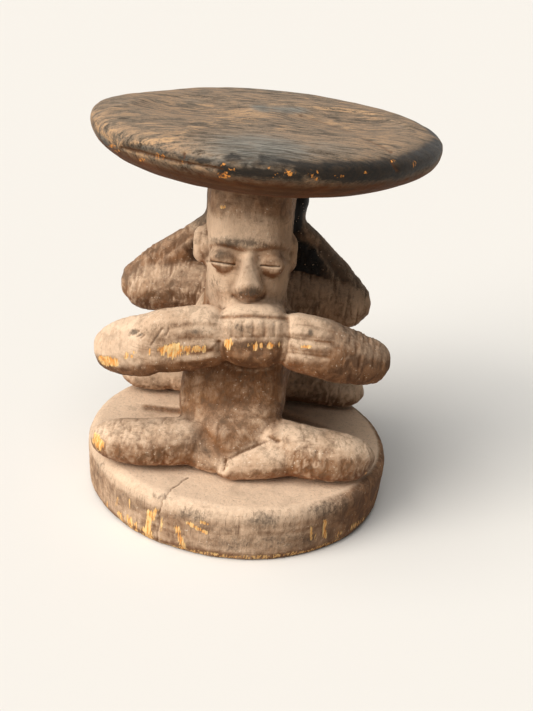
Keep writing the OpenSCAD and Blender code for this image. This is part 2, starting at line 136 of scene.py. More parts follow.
def camera_axes():
    """The camera's forward, right and up directions."""
    forward = Vector((
        -math.sin(CAMERA_YAW) * math.cos(CAMERA_PITCH),
        math.cos(CAMERA_YAW) * math.cos(CAMERA_PITCH),
        -math.sin(CAMERA_PITCH),
    ))
    level = Vector((math.cos(CAMERA_YAW), math.sin(CAMERA_YAW), 0.0))
    upright = level.cross(forward)
    c, s = math.cos(CAMERA_ROLL), math.sin(CAMERA_ROLL)
    return forward, c * level + s * upright, c * upright - s * level


def noise(points, step, seed):
    """Smooth noise from -1 to 1 at the points, on a lattice whose steps are given in millimetres."""
    places = points / np.multiply(step, MM)
    cell = np.floor(places).astype(np.int64)
    part = places - cell
    part = part * part * (3 - 2 * part)
    total = np.zeros(len(points))
    for corner in product((0, 1), repeat=3):
        x, y, z = (cell + corner).T
        mixed = (x * PRIMES[0]) ^ (y * PRIMES[1]) ^ (z * PRIMES[2]) ^ (seed * PRIMES[3])
        mixed = (mixed ^ (mixed >> 13)) * PRIMES[4] & 0x7FFFFFFF
        mixed = (mixed ^ (mixed >> 15)) & 0xFFFF
        weight = np.prod(np.where(corner, part, 1 - part), axis=1)
        total += weight * (mixed / 32767.5 - 1)
    return total


def ramp(values, low, high):
    """0 below low, 1 above high, and smooth between them."""
    t = np.clip((values - low) / (high - low), 0, 1)
    return t * t * (3 - 2 * t)


class Carving:
    """A piece's points as arrays that the tools below cut, smooth and paint.

    Marks are placed by pixels of the image, and follow the surface that the camera sees there.
    From behind, they are placed in millimetres instead: to the right of the middle of the back
    figure, as somebody who looks at its face sees it, and up from the floor.
    """

    def __init__(self, piece, nodes, from_behind=False):
        self.piece = piece
        self.nodes = nodes
        self.from_behind = from_behind
        self.paint = {}
        self.read()

    def read(self):
        """Takes the points and the edges from the mesh."""
        mesh = self.piece.data
        self.count = len(mesh.vertices)
        flat = np.empty(self.count * 3)
        mesh.vertices.foreach_get("co", flat)
        self.co = flat.reshape(-1, 3)
        ends = np.empty(len(mesh.edges) * 2, np.int32)
        mesh.edges.foreach_get("vertices", ends)
        self.one, self.two = ends.reshape(-1, 2).T
        self.valence = (
            np.bincount(self.one, minlength=self.count) + np.bincount(self.two, minlength=self.count)
        )
        self.measure()
        self.find_members()

    def measure(self):
        """Sets the mesh to the points, and finds each point's normal and place in the view."""
        mesh = self.piece.data
        mesh.vertices.foreach_set("co", self.co.ravel())
        mesh.update()
        flat = np.empty(self.count * 3)
        mesh.vertices.foreach_get("normal", flat)
        self.normal = flat.reshape(-1, 3)
        if self.from_behind:
            self.u = (FIGURE_X - self.co[:, 0]) / MM
            self.v = self.co[:, 2] / MM
            self.facing = ramp(self.normal[:, 1], *TAKES_MARKS)
            return
        forward, right, up = (np.array(axis) for axis in camera_axes())
        away = self.co - np.array(CAMERA_AT)
        depth = away @ forward
        self.u = IMAGE_W / 2 + FOCAL_PX * (away @ right) / depth
        self.v = IMAGE_H / 2 - FOCAL_PX * (away @ up) / depth
        sight = away / np.linalg.norm(away, axis=1)[:, None]
        self.facing = ramp(-(self.normal * sight).sum(1), *TAKES_MARKS)

    def find_members(self):
        """Names the CAD node that lies nearest to each point."""
        corners, faces, owner = [], [], []
        for index, name in enumerate(self.nodes):
            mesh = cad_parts[name].data
            start = len(corners)
            corners.extend(v.co.copy() for v in mesh.vertices)
            faces.extend([start + i for i in p.vertices] for p in mesh.polygons)
            owner.extend([index] * len(mesh.polygons))
        tree = BVHTree.FromPolygons(corners, faces)
        self.member = np.array([owner[tree.find_nearest(Vector(p))[2]] for p in self.co])

    def around(self, values):
        """The mean of each point's neighbours."""
        columns = values.reshape(self.count, -1)
        means = np.empty_like(columns)
        for i in range(columns.shape[1]):
            column = columns[:, i]
            means[:, i] = np.bincount(self.one, column[self.two], self.count)
            means[:, i] += np.bincount(self.two, column[self.one], self.count)
        return (means / np.maximum(self.valence, 1)[:, None]).reshape(values.shape)

    def spread(self, values, rounds):
        """The values blurred along the surface."""
        for _ in range(rounds):
            values = (values + self.around(values)) / 2
        return values

    def relax(self, rounds, amount=1.0):
        """Rounds the surface off and keeps its girth; amount is 0 to 1, for all points or for each."""
        before = self.co
        amount = np.broadcast_to(amount, self.count)[:, None] * 0.5
        for _ in range(rounds):
            self.co = self.co + (self.around(self.co) - self.co) * amount
        self.measure()
        lost = ((before - self.co) * self.normal).sum(1)
        self.push(self.spread(lost, 2 * rounds))
        self.measure()

    def push(self, height):
        """Moves the surface outwards by height, in metres."""
        self.co = self.co + self.normal * height[:, None]

    def on(self, *words, soft=2):
        """1 on the nodes whose names hold one of the words, 0 elsewhere."""
        chosen = [i for i, name in enumerate(self.nodes) if any(word in name for word in words)]
        return self.spread(np.isin(self.member, chosen).astype(float), soft)

    def line(self, points, width, where=1.0):
        """1 along a line through those pixels, fading out over width."""
        nearest = np.full(self.count, 1e9)
        for (u0, v0), (u1, v1) in zip(points, points[1:]):
            du, dv = u1 - u0, v1 - v0
            t = ((self.u - u0) * du + (self.v - v0) * dv) / max(du * du + dv * dv, 1e-6)
            t = np.clip(t, 0, 1)
            nearest = np.minimum(nearest, np.hypot(self.u - u0 - t * du, self.v - v0 - t * dv))
        return np.exp(-((nearest / width) ** 2)) * self.facing * where

    def stroke(self, height, points, width, where=1.0):
        """Raises the surface along a line by height, in millimetres, or cuts it in."""
        self.push(height * MM * self.line(points, width, where))

    def reach(self, middle, radii, turn):
        """How far out each point lies from the middle of a turned ellipse of pixels, 1 on its rim."""
        c, s = math.cos(math.radians(turn)), math.sin(math.radians(turn))
        du, dv = self.u - middle[0], self.v - middle[1]
        return np.hypot((c * du + s * dv) / radii[0], (c * dv - s * du) / radii[1])

    def spot(self, middle, radii, turn=0.0):
        """1 at a pixel, fading out over an ellipse that is turned clockwise by turn degrees."""
        return np.exp(-(self.reach(middle, radii, turn) ** 2)) * self.facing

    def area(self, middle, radii, turn=0.0, edge=0.25):
        """1 inside an ellipse of pixels, with a soft edge."""
        return (1 - ramp(self.reach(middle, radii, turn), 1 - edge, 1 + edge)) * self.facing

    def mark(self, name, values):
        """Adds to a painted mark; where marks meet, the stronger counts."""
        old = self.paint.get(name, np.zeros(self.count))
        self.paint[name] = np.maximum(old, values)

    def dab(self, name, *rows):
        """Marks that fade out: rows of middle, radii, turn and amount."""
        for middle, radii, turn, amount in rows:
            self.mark(name, amount * self.spot(middle, radii, turn))

    def streak(self, name, *rows):
        """Marks along lines: rows of points, width and amount."""
        for points, width, amount in rows:
            self.mark(name, amount * self.line(points, width))

    def chip(self, *rows):
        """Places where raw wood shows: rows of u, v, half width, half height and amount."""
        for u, v, w, h, amount in rows:
            self.mark("raw", amount * self.area((u, v), (w, h), edge=CHIP_EDGE))

    def refine(self, chosen):
        """Splits the chosen points' faces into four."""
        with shaping(self.piece.data) as shape:
            edges = [e for e in shape.edges if chosen[e.verts[0].index] and chosen[e.verts[1].index]]
            bmesh.ops.subdivide_edges(shape, edges=edges, cuts=1, use_grid_fill=True)
            bmesh.ops.triangulate(shape, faces=[f for f in shape.faces if len(f.verts) > 4])
        self.paint = {}
        self.read()

    def finish(self):
        """Notes ridges and hollows, and writes the points and the paint into the mesh."""
        self.co = np.clip(self.co, *CAD_BOX)
        self.measure()
        for name, rounds, scale in (("fine", 3, 0.25 * MM), ("broad", 24, 1.6 * MM)):
            bulge = ((self.co - self.spread(self.co, rounds)) * self.normal).sum(1) / scale
            self.paint["ridge_" + name] = np.clip(bulge, 0, 1)
            self.paint["hollow_" + name] = np.clip(-bulge, 0, 1)
        mesh = self.piece.data
        for name, values in self.paint.items():
            layer = mesh.attributes.new(name, "FLOAT", "POINT")
            layer.data.foreach_set("value", values.astype(np.float32))
        mesh.shade_smooth()


def rough_out(name, nodes, voxel):
    """A new piece in one skin over merged copies of the nodes, run on into what carries them."""
    piece = add_object(name, bpy.data.meshes.new(name))
    with shaping(piece.data) as shape:
        for copied in nodes:
            shape.from_mesh(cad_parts[copied].data)
            start = len(shape.verts) - len(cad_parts[copied].data.vertices)
            shape.verts.ensure_lookup_table()
            bmesh.ops.remove_doubles(shape, verts=shape.verts[start:], dist=1e-6)
        for level, way in ((BASE_TOP, -1), (SEAT_Z, 1)):
            met = [
                f for f in shape.faces
                if f.normal.z * way > 0.9 and all(abs(v.co.z - level) < 0.3 * MM for v in f.verts)
            ]
            if met and len(nodes) > 1:
                grown = bmesh.ops.extrude_face_region(shape, geom=met)["geom"]
                bmesh.ops.delete(shape, geom=met, context="FACES")
                ends = [g for g in grown if isinstance(g, bmesh.types.BMVert)]
                bmesh.ops.translate(shape, verts=ends, vec=(0, 0, way * REACH))
    skin = piece.modifiers.new("Skin", "REMESH")
    skin.mode = "VOXEL"
    skin.voxel_size = voxel
    apply_modifiers(piece)
    keep_largest(piece)
    return piece


def cut_at(piece, name, plane_y, keep_back):
    """A copy of the piece on one side of an upright plane, left open where it is cut."""
    half = add_object(name, piece.data.copy())
    half.data.name = name
    with shaping(half.data) as shape:
        bmesh.ops.bisect_plane(
            shape, geom=shape.verts[:] + shape.edges[:] + shape.faces[:], plane_co=(0, plane_y, 0),
            plane_no=(0, 1, 0), clear_inner=keep_back, clear_outer=not keep_back)
        bmesh.ops.triangulate(shape, faces=[f for f in shape.faces if len(f.verts) > 4])
    return half


def close_cut(piece):
    """Fills the open side with a flat face behind a sharp edge."""
    with shaping(piece.data) as shape:
        rim = [edge for edge in shape.edges if edge.is_boundary]
        bmesh.ops.triangle_fill(shape, use_beauty=True, use_dissolve=False, edges=rim)
        for edge in rim:
            edge.smooth = False
        bmesh.ops.recalc_face_normals(shape, faces=shape.faces)


def apply_modifiers(piece):
    """Bakes the live modifiers into the mesh."""
    ready = piece.evaluated_get(bpy.context.evaluated_depsgraph_get())
    mesh = bpy.data.meshes.new_from_object(ready)
    piece.modifiers.clear()
    piece.data = mesh


def keep_largest(piece):
    """Deletes loose skins inside the piece."""
    with shaping(piece.data) as shape:
        left = set(shape.verts)
        skins = []
        while left:
            todo = [left.pop()]
            skin = list(todo)
            while todo:
                for edge in todo.pop().link_edges:
                    fresh = left.intersection(edge.verts)
                    left -= fresh
                    todo.extend(fresh)
                    skin.extend(fresh)
            skins.append(skin)
        skins.sort(key=len)
        for skin in skins[:-1]:
            bmesh.ops.delete(shape, geom=skin, context="VERTS")


def dress(piece, material, slot, *nodes):
    """Gives the piece its material and its place in the frame."""
    piece.data.materials.clear()
    piece.data.materials.append(material)
    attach(piece, "root")
    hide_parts(*nodes)


def hand_hewn(carving):
    """The uneven surface that an adze leaves."""
    height = sum(
        depth * noise(carving.co, step, seed)
        for depth, step, seed in ((0.65, 19, 3), (0.35, 8, 4), (0.18, 3.5, 5))
    )
    carving.push(height * MM)


def ribs(carving, where, pitch, depth, seed):
    """Short upright cuts of a narrow blade along limbs that run sideways; pitch is in millimetres."""
    cuts = noise(carving.co, (pitch, 22, 18), seed)
    cuts += 0.6 * noise(carving.co, (pitch / 2.2, 12, 10), seed + 7)
    carving.push(-np.abs(np.clip(cuts, -0.2, 1)) * depth * where)


def node(tree, kind, inputs=(), out=None, stops=(), **settings):
    """Adds a node with its settings, inputs and colour stops, and gives its first output or a named one.

    Inputs are links or values, by name or in the order in which the node shows them.
    """
    made = tree.nodes.new("ShaderNode" + kind)
    for name, value in settings.items():
        setattr(made, name, value)
    if not isinstance(inputs, dict):
        inputs = dict(zip((i for i, socket in enumerate(made.inputs) if socket.enabled), inputs))
    for name, value in inputs.items():
        if isinstance(value, bpy.types.NodeSocket):
            tree.links.new(value, made.inputs[name])
        else:
            plain = made.inputs[name].type != "RGBA"
            made.inputs[name].default_value = value if plain else (*value, 1.0)
    if stops:
        elements = made.color_ramp.elements
        while len(elements) < len(stops):
            elements.new(0.5)
        for element, (place, colour) in zip(elements, stops):
            element.position = place
            element.color = (*colour, 1.0)
    return made.outputs[out] if out else next((s for s in made.outputs if s.enabled), None)


# Settings that many nodes share: a smooth rise from 0, and a mix of two colours.
RISE = {"interpolation_type": "SMOOTHSTEP"}
COLOURS = {"data_type": "RGBA"}


def weigh(tree, start, *parts):
    """The start plus each value times its weight."""
    for value, weight in parts:
        start = node(tree, "Math", (value, weight, start), operation="MULTIPLY_ADD")
    return start


def lay(tree, colour, over, value, low, high, amount=1.0):
    """A colour with another over it, from nothing where the value is low to amount where it is high."""
    covered = node(tree, "MapRange", (value, low, high, 0.0, amount), **RISE)
    return node(tree, "Mix", (covered, colour, over), **COLOURS)


def grains(tree, *rows):
    """Noise patterns: rows of features per metre, detail, roughness, distortion, shift and turn."""
    place = node(tree, "TexCoord", out="Object")
    for features, detail, rough, distortion, shift, turn in rows:
        vector = node(tree, "Mapping", {
            "Vector": place, "Scale": features, "Location": (shift, 0, 0), "Rotation": (0, 0, turn),
        })
        yield node(tree, "TexNoise", {
            "Vector": vector, "Scale": 1.0, "Detail": detail, "Roughness": rough, "Distortion": distortion,
        })


def bare_material(name):
    """A new material without nodes, and its tree."""
    material = bpy.data.materials.new(name)
    material.use_nodes = True
    material.node_tree.nodes.clear()
    return material, material.node_tree


def paint_nodes(tree, *names):
    """The painted marks of the piece, by name, and how far the surface faces up, from -1 to 1."""
    marks = {name: node(tree, "Attribute", out="Fac", attribute_name=name) for name in names}
    return marks, node(tree, "SeparateXYZ", (node(tree, "NewGeometry", out="Normal"),), out="Z")


def chips(tree, colour, torn, mark, tears, raggedness, low, high):
    """Raw wood where the skin is torn off along a pattern of tears, and how far it shows."""
    place = node(tree, "MapRange", (mark, 0.08, 0.35), **RISE)
    ragged = weigh(tree, -raggedness / 2, (mark, 1.0), (tears, raggedness))
    raw = node(tree, "MapRange", (ragged, low, high, 0.0, place), **RISE)
    return raw, node(tree, "Mix", (raw, colour, torn), **COLOURS)


def wood_surface(tree, colour, rough, height, strength, depth, ior):
    """The shader of unvarnished wood, whose pores and blade marks rise and sink by the height."""
    bump = node(tree, "Bump", {"Height": height, "Strength": strength, "Distance": depth})
    surface = node(tree, "BsdfPrincipled", {
        "Base Color": colour, "Roughness": rough, "Normal": bump, "IOR": ior,
        "Specular IOR Level": WOOD_SPECULAR,
    })
    node(tree, "OutputMaterial", {"Surface": surface})


def dusty_wood(name, settings, dust_level, fibre, soot=0.0):
    """Hand-adzed hardwood, carved across and along an upright log and never varnished.

    Fine dust lies on what faces up, brown wood shows where none settles, hollows hold dirt,
    edges are rubbed pale, and where the skin is chipped the raw wood shows orange.
    """
    material, tree = bare_material(name)
    painted, up = paint_nodes(
        tree, "dust", "bare", "dark_wood_and_painted_shade", "soot", "painted_deep_shade", "raw", "ridge_fine", "ridge_broad",
        "hollow_fine", "hollow_broad")
    # Fibres and splinters are wider here than real ones, so that they show.
    patches, fibres, strokes, grit, pits, blots, splinters, specks = grains(
        tree,
        ((22, 22, 16), 5.0, 0.60, 0.4, 0.0, 0.0),  # 45 mm across and 60 mm high
        ((430, 430, 24), 6.0, 0.72, 0.8, 0.0, 0.0),  # 2 mm wide and 40 mm long, upright
        ((30, 30, 330), 5.0, 0.70, 0.6, 0.4, 0.0),  # 3 mm wide and 30 mm long, level
        ((900, 900, 900), 3.0, 0.70, 0.0, 0.0, 0.0),  # 1 mm
        ((230, 230, 180), 4.0, 0.65, 0.4, 0.0, 0.0),  # 4 mm
        ((75, 75, 60), 5.0, 0.62, 0.6, 0.0, 0.0),  # 13 mm
        ((420, 420, 52), 3.0, 0.60, 0.0, 0.0, 0.0),  # 2 mm wide and 20 mm long
        ((430, 430, 430), 1.0, 0.50, 0.0, 3.1, 0.0),  # 2 mm
    )

    # The wood under the dust: brown, and where it faces down a darker, redder brown, for unbleached wood and
    # as painted shade on the undersides.
    tone = weigh(tree, 0.0, (patches, 0.40), (blots, 0.30), (fibres, 0.30))
    colour = node(tree, "ValToRGB", (tone,), stops=(
        (0.36, settings.deep_wood), (0.50, settings.brown_wood), (0.64, settings.light_wood)))
    colour = lay(tree, colour, settings.warm_wood, up, 0.05, -0.75, 0.65)
    if soot:
        colour = lay(tree, colour, settings.soot, patches, 0.60, 0.42, soot)

    # Dust on what faces up, thick in some places and worn off in others.
    facing_up = node(tree, "MapRange", (up, -0.65, 0.85), **RISE)
    settled = weigh(tree, -1.30, (facing_up, 0.95), (blots, 0.8), (patches, 0.6), (pits, 0.7),
                    (grit, 0.5), (painted["dust"], 0.9), (painted["bare"], -0.9))
    dust = node(tree, "MapRange", (settled, 0.0, 0.95, 0.0, dust_level), **RISE)
    thick = weigh(tree, patches, (painted["dust"], 0.28))
    dust_colour = lay(tree, settings.dust, settings.pale_dust, thick, 0.42, 0.62)
    colour = node(tree, "Mix", (dust, colour, dust_colour), **COLOURS)

    # Grey smudges, and dark lines along and across the fibres, fainter under thick dust.
    thin = weigh(tree, 1.0, (painted["dust"], -0.9))
    smudge = weigh(tree, 0.0, (blots, 0.5), (pits, 0.5))
    colour = lay(tree, colour, settings.smudge, smudge, 0.51, 0.40, weigh(tree, 0.0, (thin, 0.45)))
    along = node(tree, "MapRange", (fibres, 0.47, 0.34, 0.0, fibre), **RISE)
    across = node(tree, "MapRange", (strokes, 0.44, 0.33, 0.0, 0.45), **RISE)
    lines = node(tree, "Math", (along, across), operation="MAXIMUM")
    lines = weigh(tree, 0.0, (lines, weigh(tree, 0.35, (thin, 0.5))))
    colour = node(tree, "Mix", (lines, colour, settings.dirt), **COLOURS)

    # Dirt in the hollows, and pale ridges where the dust is rubbed in.
    dirt = weigh(tree, 0.0, (painted["hollow_fine"], 0.40), (painted["hollow_broad"], 0.50))
    colour = node(tree, "Mix", (dirt, colour, settings.dirt), **COLOURS)
    rubbed = weigh(tree, 0.0, (painted["ridge_fine"], 0.55), (painted["ridge_broad"], 0.25))
    colour = lay(tree, colour, settings.pale_dust, blots, 0.38, 0.60, rubbed)

    # The painted marks, with ragged edges: dark wood and painted shade in brown, grey-black smears, and the
    # near black painted shade of the deepest cuts.
    ragged = weigh(tree, -1.15, (pits, 1.4), (fibres, 0.9))
    shade_and_dark_wood = lay(tree, settings.deep_wood, settings.brown_wood, blots, 0.40, 0.60)
    for over, mark, raggedness, low, high, amount in (
        (shade_and_dark_wood, "dark_wood_and_painted_shade", 0.6, 0.05, 0.95, 0.88),
        (settings.soot, "soot", 1.0, 0.20, 0.85, 0.80),
        (settings.pitch, "painted_deep_shade", 0.3, 0.08, 0.90, 1.0),
    ):
        edge = weigh(tree, painted[mark], (ragged, raggedness))
        colour = lay(tree, colour, over, edge, low, high, amount)

    # Chips are torn along the fibres, so their edges are streaks.
    torn = lay(tree, settings.raw_wood, settings.raw_light, splinters, 0.42, 0.62)
    raw, colour = chips(tree, colour, torn, painted["raw"], splinters, 3.6, 0.30, 0.52)
    speckled = node(tree, "MapRange", (blots, 0.44, 0.54, 0.0, 0.8), **RISE)
    colour = lay(tree, colour, settings.speck, specks, 0.69, 0.73, speckled)

    rough = weigh(tree, 0.56, (dust, 0.34))
    height = weigh(tree, 0.0, (fibres, fibre * 0.8), (grit, 0.30), (strokes, 0.35), (pits, 0.9),
                   (blots, 0.8), (raw, -0.4))
    wood_surface(tree, colour, rough, height, 0.85, 1.0 * MM, 1.45)
    return material


def burnished_seat(settings):
    """The same wood on the seat, darkened by smoke and hands.

    The rim is burnished almost black and shines, the top is worn down to grey and tan streaks
    that follow the grain from side to side, and the underside is bare reddish brown.
    """
    material, tree = bare_material("burnished_seat")
    painted, up = paint_nodes(tree, "worn", "soot", "gloss", "raw", "ridge_fine", "hollow_fine")
    # The fibres run from side to side. The hairs are wider than real ones, so that they show.
    flow, streaks, hairs, grit, blots, tears = grains(
        tree,
        ((11, 52, 46), 6.0, 0.62, 0.25, 0.0, 0.0),  # 90 mm long and 20 mm wide
        ((20, 230, 110), 6.0, 0.74, 0.4, 0.0, 0.0),  # 50 mm long and 4 mm wide
        ((50, 620, 400), 4.0, 0.70, 0.3, 0.0, 0.12),  # 20 mm long and 2 mm wide
        ((700, 900, 900), 3.0, 0.70, 0.0, 0.0, 0.0),  # 1 mm
        ((55, 130, 80), 6.0, 0.70, 0.4, 0.0, 0.0),  # 18 mm long and 8 mm wide
        ((260, 420, 260), 4.0, 0.65, 0.0, 0.0, 0.0),  # 4 mm long and 2 mm wide
    )

    # The top: grey and tan streaks, worn pale in patches and dark where smoke settled.
    tone = weigh(tree, 0.0, (flow, 0.12), (streaks, 0.24), (hairs, 0.22), (grit, 0.16), (blots, 0.26))
    top = node(tree, "ValToRGB", (tone,), stops=(
        (0.435, settings.seat_dark), (0.485, settings.seat_grey),
        (0.53, settings.seat_tan), (0.58, settings.seat_pale)))
    ragged = weigh(tree, -1.0, (blots, 1.0), (streaks, 1.0))
    worn = weigh(tree, painted["worn"], (ragged, 4.2))
    broken = node(tree, "MapRange", (weigh(tree, hairs, (grit, 1.0)), 0.84, 1.04, 0.0, 0.78), **RISE)
    top = lay(tree, top, settings.seat_worn, worn, 0.46, 0.80, broken)
    smoke = lay(tree, settings.seat_soot, settings.seat_ash, weigh(tree, streaks, (hairs, 1.0)), 0.85, 1.15)
    top = lay(tree, top, smoke, weigh(tree, painted["soot"], (ragged, 1.2)), 0.25, 0.80, 0.88)

    # The bare underside, the burnished rim, and what is rubbed or dirty.
    under = lay(tree, settings.under_dark, settings.under_wood, weigh(tree, flow, (streaks, 1.0)), 0.80, 1.20)
    colour = lay(tree, under, top, weigh(tree, -0.175, (up, 1.0), (blots, 0.35)), -0.62, -0.34)
    burnished = weigh(tree, painted["gloss"], (ragged, 1.8))
    black = node(tree, "MapRange", (burnished, 0.10, 0.85, 0.0, 0.94), **RISE)
    colour = node(tree, "Mix", (black, colour, settings.black_rim), **COLOURS)
    pale = weigh(tree, 0.0, (painted["ridge_fine"], weigh(tree, 0.6, (black, -0.6))))
    colour = lay(tree, colour, settings.seat_worn, blots, 0.40, 0.60, pale)
    dirt = weigh(tree, 0.0, (painted["hollow_fine"], 0.8))
    colour = node(tree, "Mix", (dirt, colour, settings.deep_wood), **COLOURS)
    torn = lay(tree, settings.warm_wood, settings.raw_wood, tears, 0.44, 0.60)
    colour = chips(tree, colour, torn, painted["raw"], tears, 3.5, 0.36, 0.60)[1]

    rough = weigh(tree, 0.57, (black, -0.24), (streaks, 0.3))
    height = weigh(tree, 0.0, (streaks, 1.0), (grit, 0.3), (blots, 0.9), (hairs, 0.4))
    wood_surface(tree, colour, rough, height, 0.8, 0.9 * MM, 1.48)
    return material


def seen_ray(tree):
    """1 for rays that the camera or a gloss sees, 0 for rays that only carry light."""
    seen = [node(tree, "LightPath", out=kind) for kind in ("Is Camera Ray", "Is Glossy Ray")]
    return node(tree, "Math", seen, operation="MAXIMUM")


def floor_paint(shown, bounced):
    """Matt paint on the studio floor, which looks pale and throws little light back."""
    material, tree = bare_material("floor_paint")
    dull, pale = (node(tree, "BsdfDiffuse", {"Color": colour}) for colour in (bounced, shown))
    node(tree, "OutputMaterial", {"Surface": node(tree, "MixShader", (seen_ray(tree), dull, pale))})
    return material


def hex_property(name, hex_colour, description):
    """A colour setting whose default is an sRGB hex value."""
    return bpy.props.FloatVectorProperty(
        name=name, description=description, subtype="COLOR", size=3, min=0, max=1,
        default=linear(hex_colour),
    )


class StoolSettings(bpy.types.PropertyGroup):
    """Sizes and colours that someone may want to change"""

    figure_grid: bpy.props.FloatProperty(
        name="Figure grid", description="Spacing of the points on the figures",
        default=2.2 * MM, min=1.2 * MM, max=5 * MM, unit="LENGTH")
    round_grid: bpy.props.FloatProperty(
        name="Seat and drum grid", description="Spacing of the points on the seat and the drum",
        default=2.0 * MM, min=1.5 * MM, max=5 * MM, unit="LENGTH")
    rib_depth: bpy.props.FloatProperty(
        name="Blade cuts", description="Depth of the short cuts across the limbs",
        default=1.5 * MM, min=0, max=3 * MM, unit="LENGTH")
    tooth_depth: bpy.props.FloatProperty(
        name="Tooth cuts", description="Depth of the cuts round the teeth",
        default=0.9 * MM, min=0, max=4 * MM, unit="LENGTH")
    dust_level: bpy.props.FloatProperty(
        name="Dust", description="How much dust lies on the figures and the drum",
        default=0.85, min=0, max=1, subtype="FACTOR")
    deep_wood: hex_property("Deep wood", "#5c3b22", "Wood in the dark of the grain")
    brown_wood: hex_property("Brown wood", "#8b6241", "Most of the carved wood")
    light_wood: hex_property("Light wood", "#b3875f", "Wood in the light of the grain")
    dust: hex_property("Dust", "#cfb296", "Settled dust")
    pale_dust: hex_property("Pale dust", "#ecd1b5", "Thick dust and rubbed edges")
    # Warm wood darkens what faces down, partly as painted shade, and colours torn chips on the seat.
    warm_wood: hex_property("Warm wood", "#8a5633", "Wood that faces down")
    smudge: hex_property("Smudges", "#7d6b58", "Grey-brown smudges")
    # Pitch is the near black of painted shade in the deepest cuts and under the seat.
    pitch: hex_property("Pitch", "#0f0a06", "The dark of deep hollows")
    dirt: hex_property("Dirt", "#55371f", "Dirt in the hollows")
    soot: hex_property("Soot", "#554c42", "Grey-black smears")
    raw_wood: hex_property("Raw wood", "#f3a653", "Chipped wood")
    raw_light: hex_property("Light raw wood", "#ffdc9c", "Chipped wood in the light of the grain")
    speck: hex_property("Specks", "#e3d2bd", "Pale specks")
    seat_dark: hex_property("Seat dark", "#3e3226", "Dark streaks on the seat")
    seat_grey: hex_property("Seat grey", "#74685a", "Grey streaks on the seat")
    seat_tan: hex_property("Seat tan", "#9c8167", "Tan streaks on the seat")
    seat_pale: hex_property("Seat pale", "#b59a7e", "Pale streaks on the seat")
    seat_worn: hex_property("Seat worn", "#c49f78", "Patches worn down to pale wood")
    seat_soot: hex_property("Seat soot", "#4c4a45", "Charcoal grey of the front of the seat")
    seat_ash: hex_property("Seat ash", "#8b8981", "Ash grey streaks in the smoked part of the seat")
    black_rim: hex_property("Black rim", "#13110f", "Burnished rim")
    under_wood: hex_property("Underside", "#6b4225", "Bare wood under the seat")
    under_dark: hex_property("Dark underside", "#4a2d17", "Bare wood under the seat, in the dark")


class STOOL_OT_camera(bpy.types.Operator):
    """Places the camera in front of the stool"""

    bl_idname = "stool.camera"
    bl_label = "Camera"
    bl_options = {"REGISTER", "UNDO"}

    def execute(self, context):
        forward, right, up = camera_axes()
        data = bpy.data.cameras.new("camera")
        data.sensor_width = SENSOR_MM
        data.lens = FOCAL_PX * SENSOR_MM / IMAGE_H
        camera = add_object("camera", data)
        turn = Matrix((right, up, -forward)).transposed().to_4x4()
        camera.matrix_world = Matrix.Translation(CAMERA_AT) @ turn
        context.scene.camera = camera
        return {"FINISHED"}


class STOOL_OT_seat(bpy.types.Operator):
    """Carves the round seat"""

    bl_idname = "stool.seat"
    bl_label = "Seat"
    bl_options = {"REGISTER", "UNDO"}

    def execute(self, context):
        settings = context.scene.stool
        piece = rough_out("carved_seat", ["seat"], settings.round_grid)
        seat = Carving(piece, ["seat"])
        seat.relax(4)
        carve_seat(seat)
        seat.finish()
        dress(piece, burnished_seat(settings), "burnished_seat", "seat")
        return {"FINISHED"}


class STOOL_OT_base(bpy.types.Operator):
    """Carves the low drum"""

    bl_idname = "stool.base"
    bl_label = "Drum"
    bl_options = {"REGISTER", "UNDO"}

    def execute(self, context):
        settings = context.scene.stool
        piece = rough_out("carved_drum", ["base"], settings.round_grid)
        drum = Carving(piece, ["base"])
        drum.relax(5)
        carve_drum(drum)
        drum.finish()
        material = dusty_wood("dusty_drum", settings, settings.dust_level, 0.9)
        dress(piece, material, "dusty_base", "base")
        return {"FINISHED"}


class STOOL_OT_figures(bpy.types.Operator):
    """Carves both figures out of one block, and parts them behind the core"""

    bl_idname = "stool.figures"
    bl_label = "Figures"
    bl_options = {"REGISTER", "UNDO"}

    def execute(self, context):
        settings = context.scene.stool
        block = rough_out("block", FRONT_NODES + BACK_NODES, settings.figure_grid)
        whole = Carving(block, FRONT_NODES + BACK_NODES)
        shape_block(whole)
        for name, nodes, carve, slot, dust, soot in (
            ("front_figure", FRONT_NODES, carve_front_figure, "dusty_carving", 1.0, 0.0),
            ("back_figure", BACK_NODES, carve_back_figure, "brown_carving", 0.75, 0.5),
        ):
            behind = nodes is BACK_NODES
            piece = cut_at(block, name, CORE_BACK, behind)
            figure = Carving(piece, nodes, from_behind=behind)
            carve(figure, settings)
            figure.finish()
            close_cut(piece)
            dress(piece, dusty_wood(slot, settings, settings.dust_level * dust, 0.45, soot), slot, *nodes)
        bpy.data.objects.remove(block)
        return {"FINISHED"}


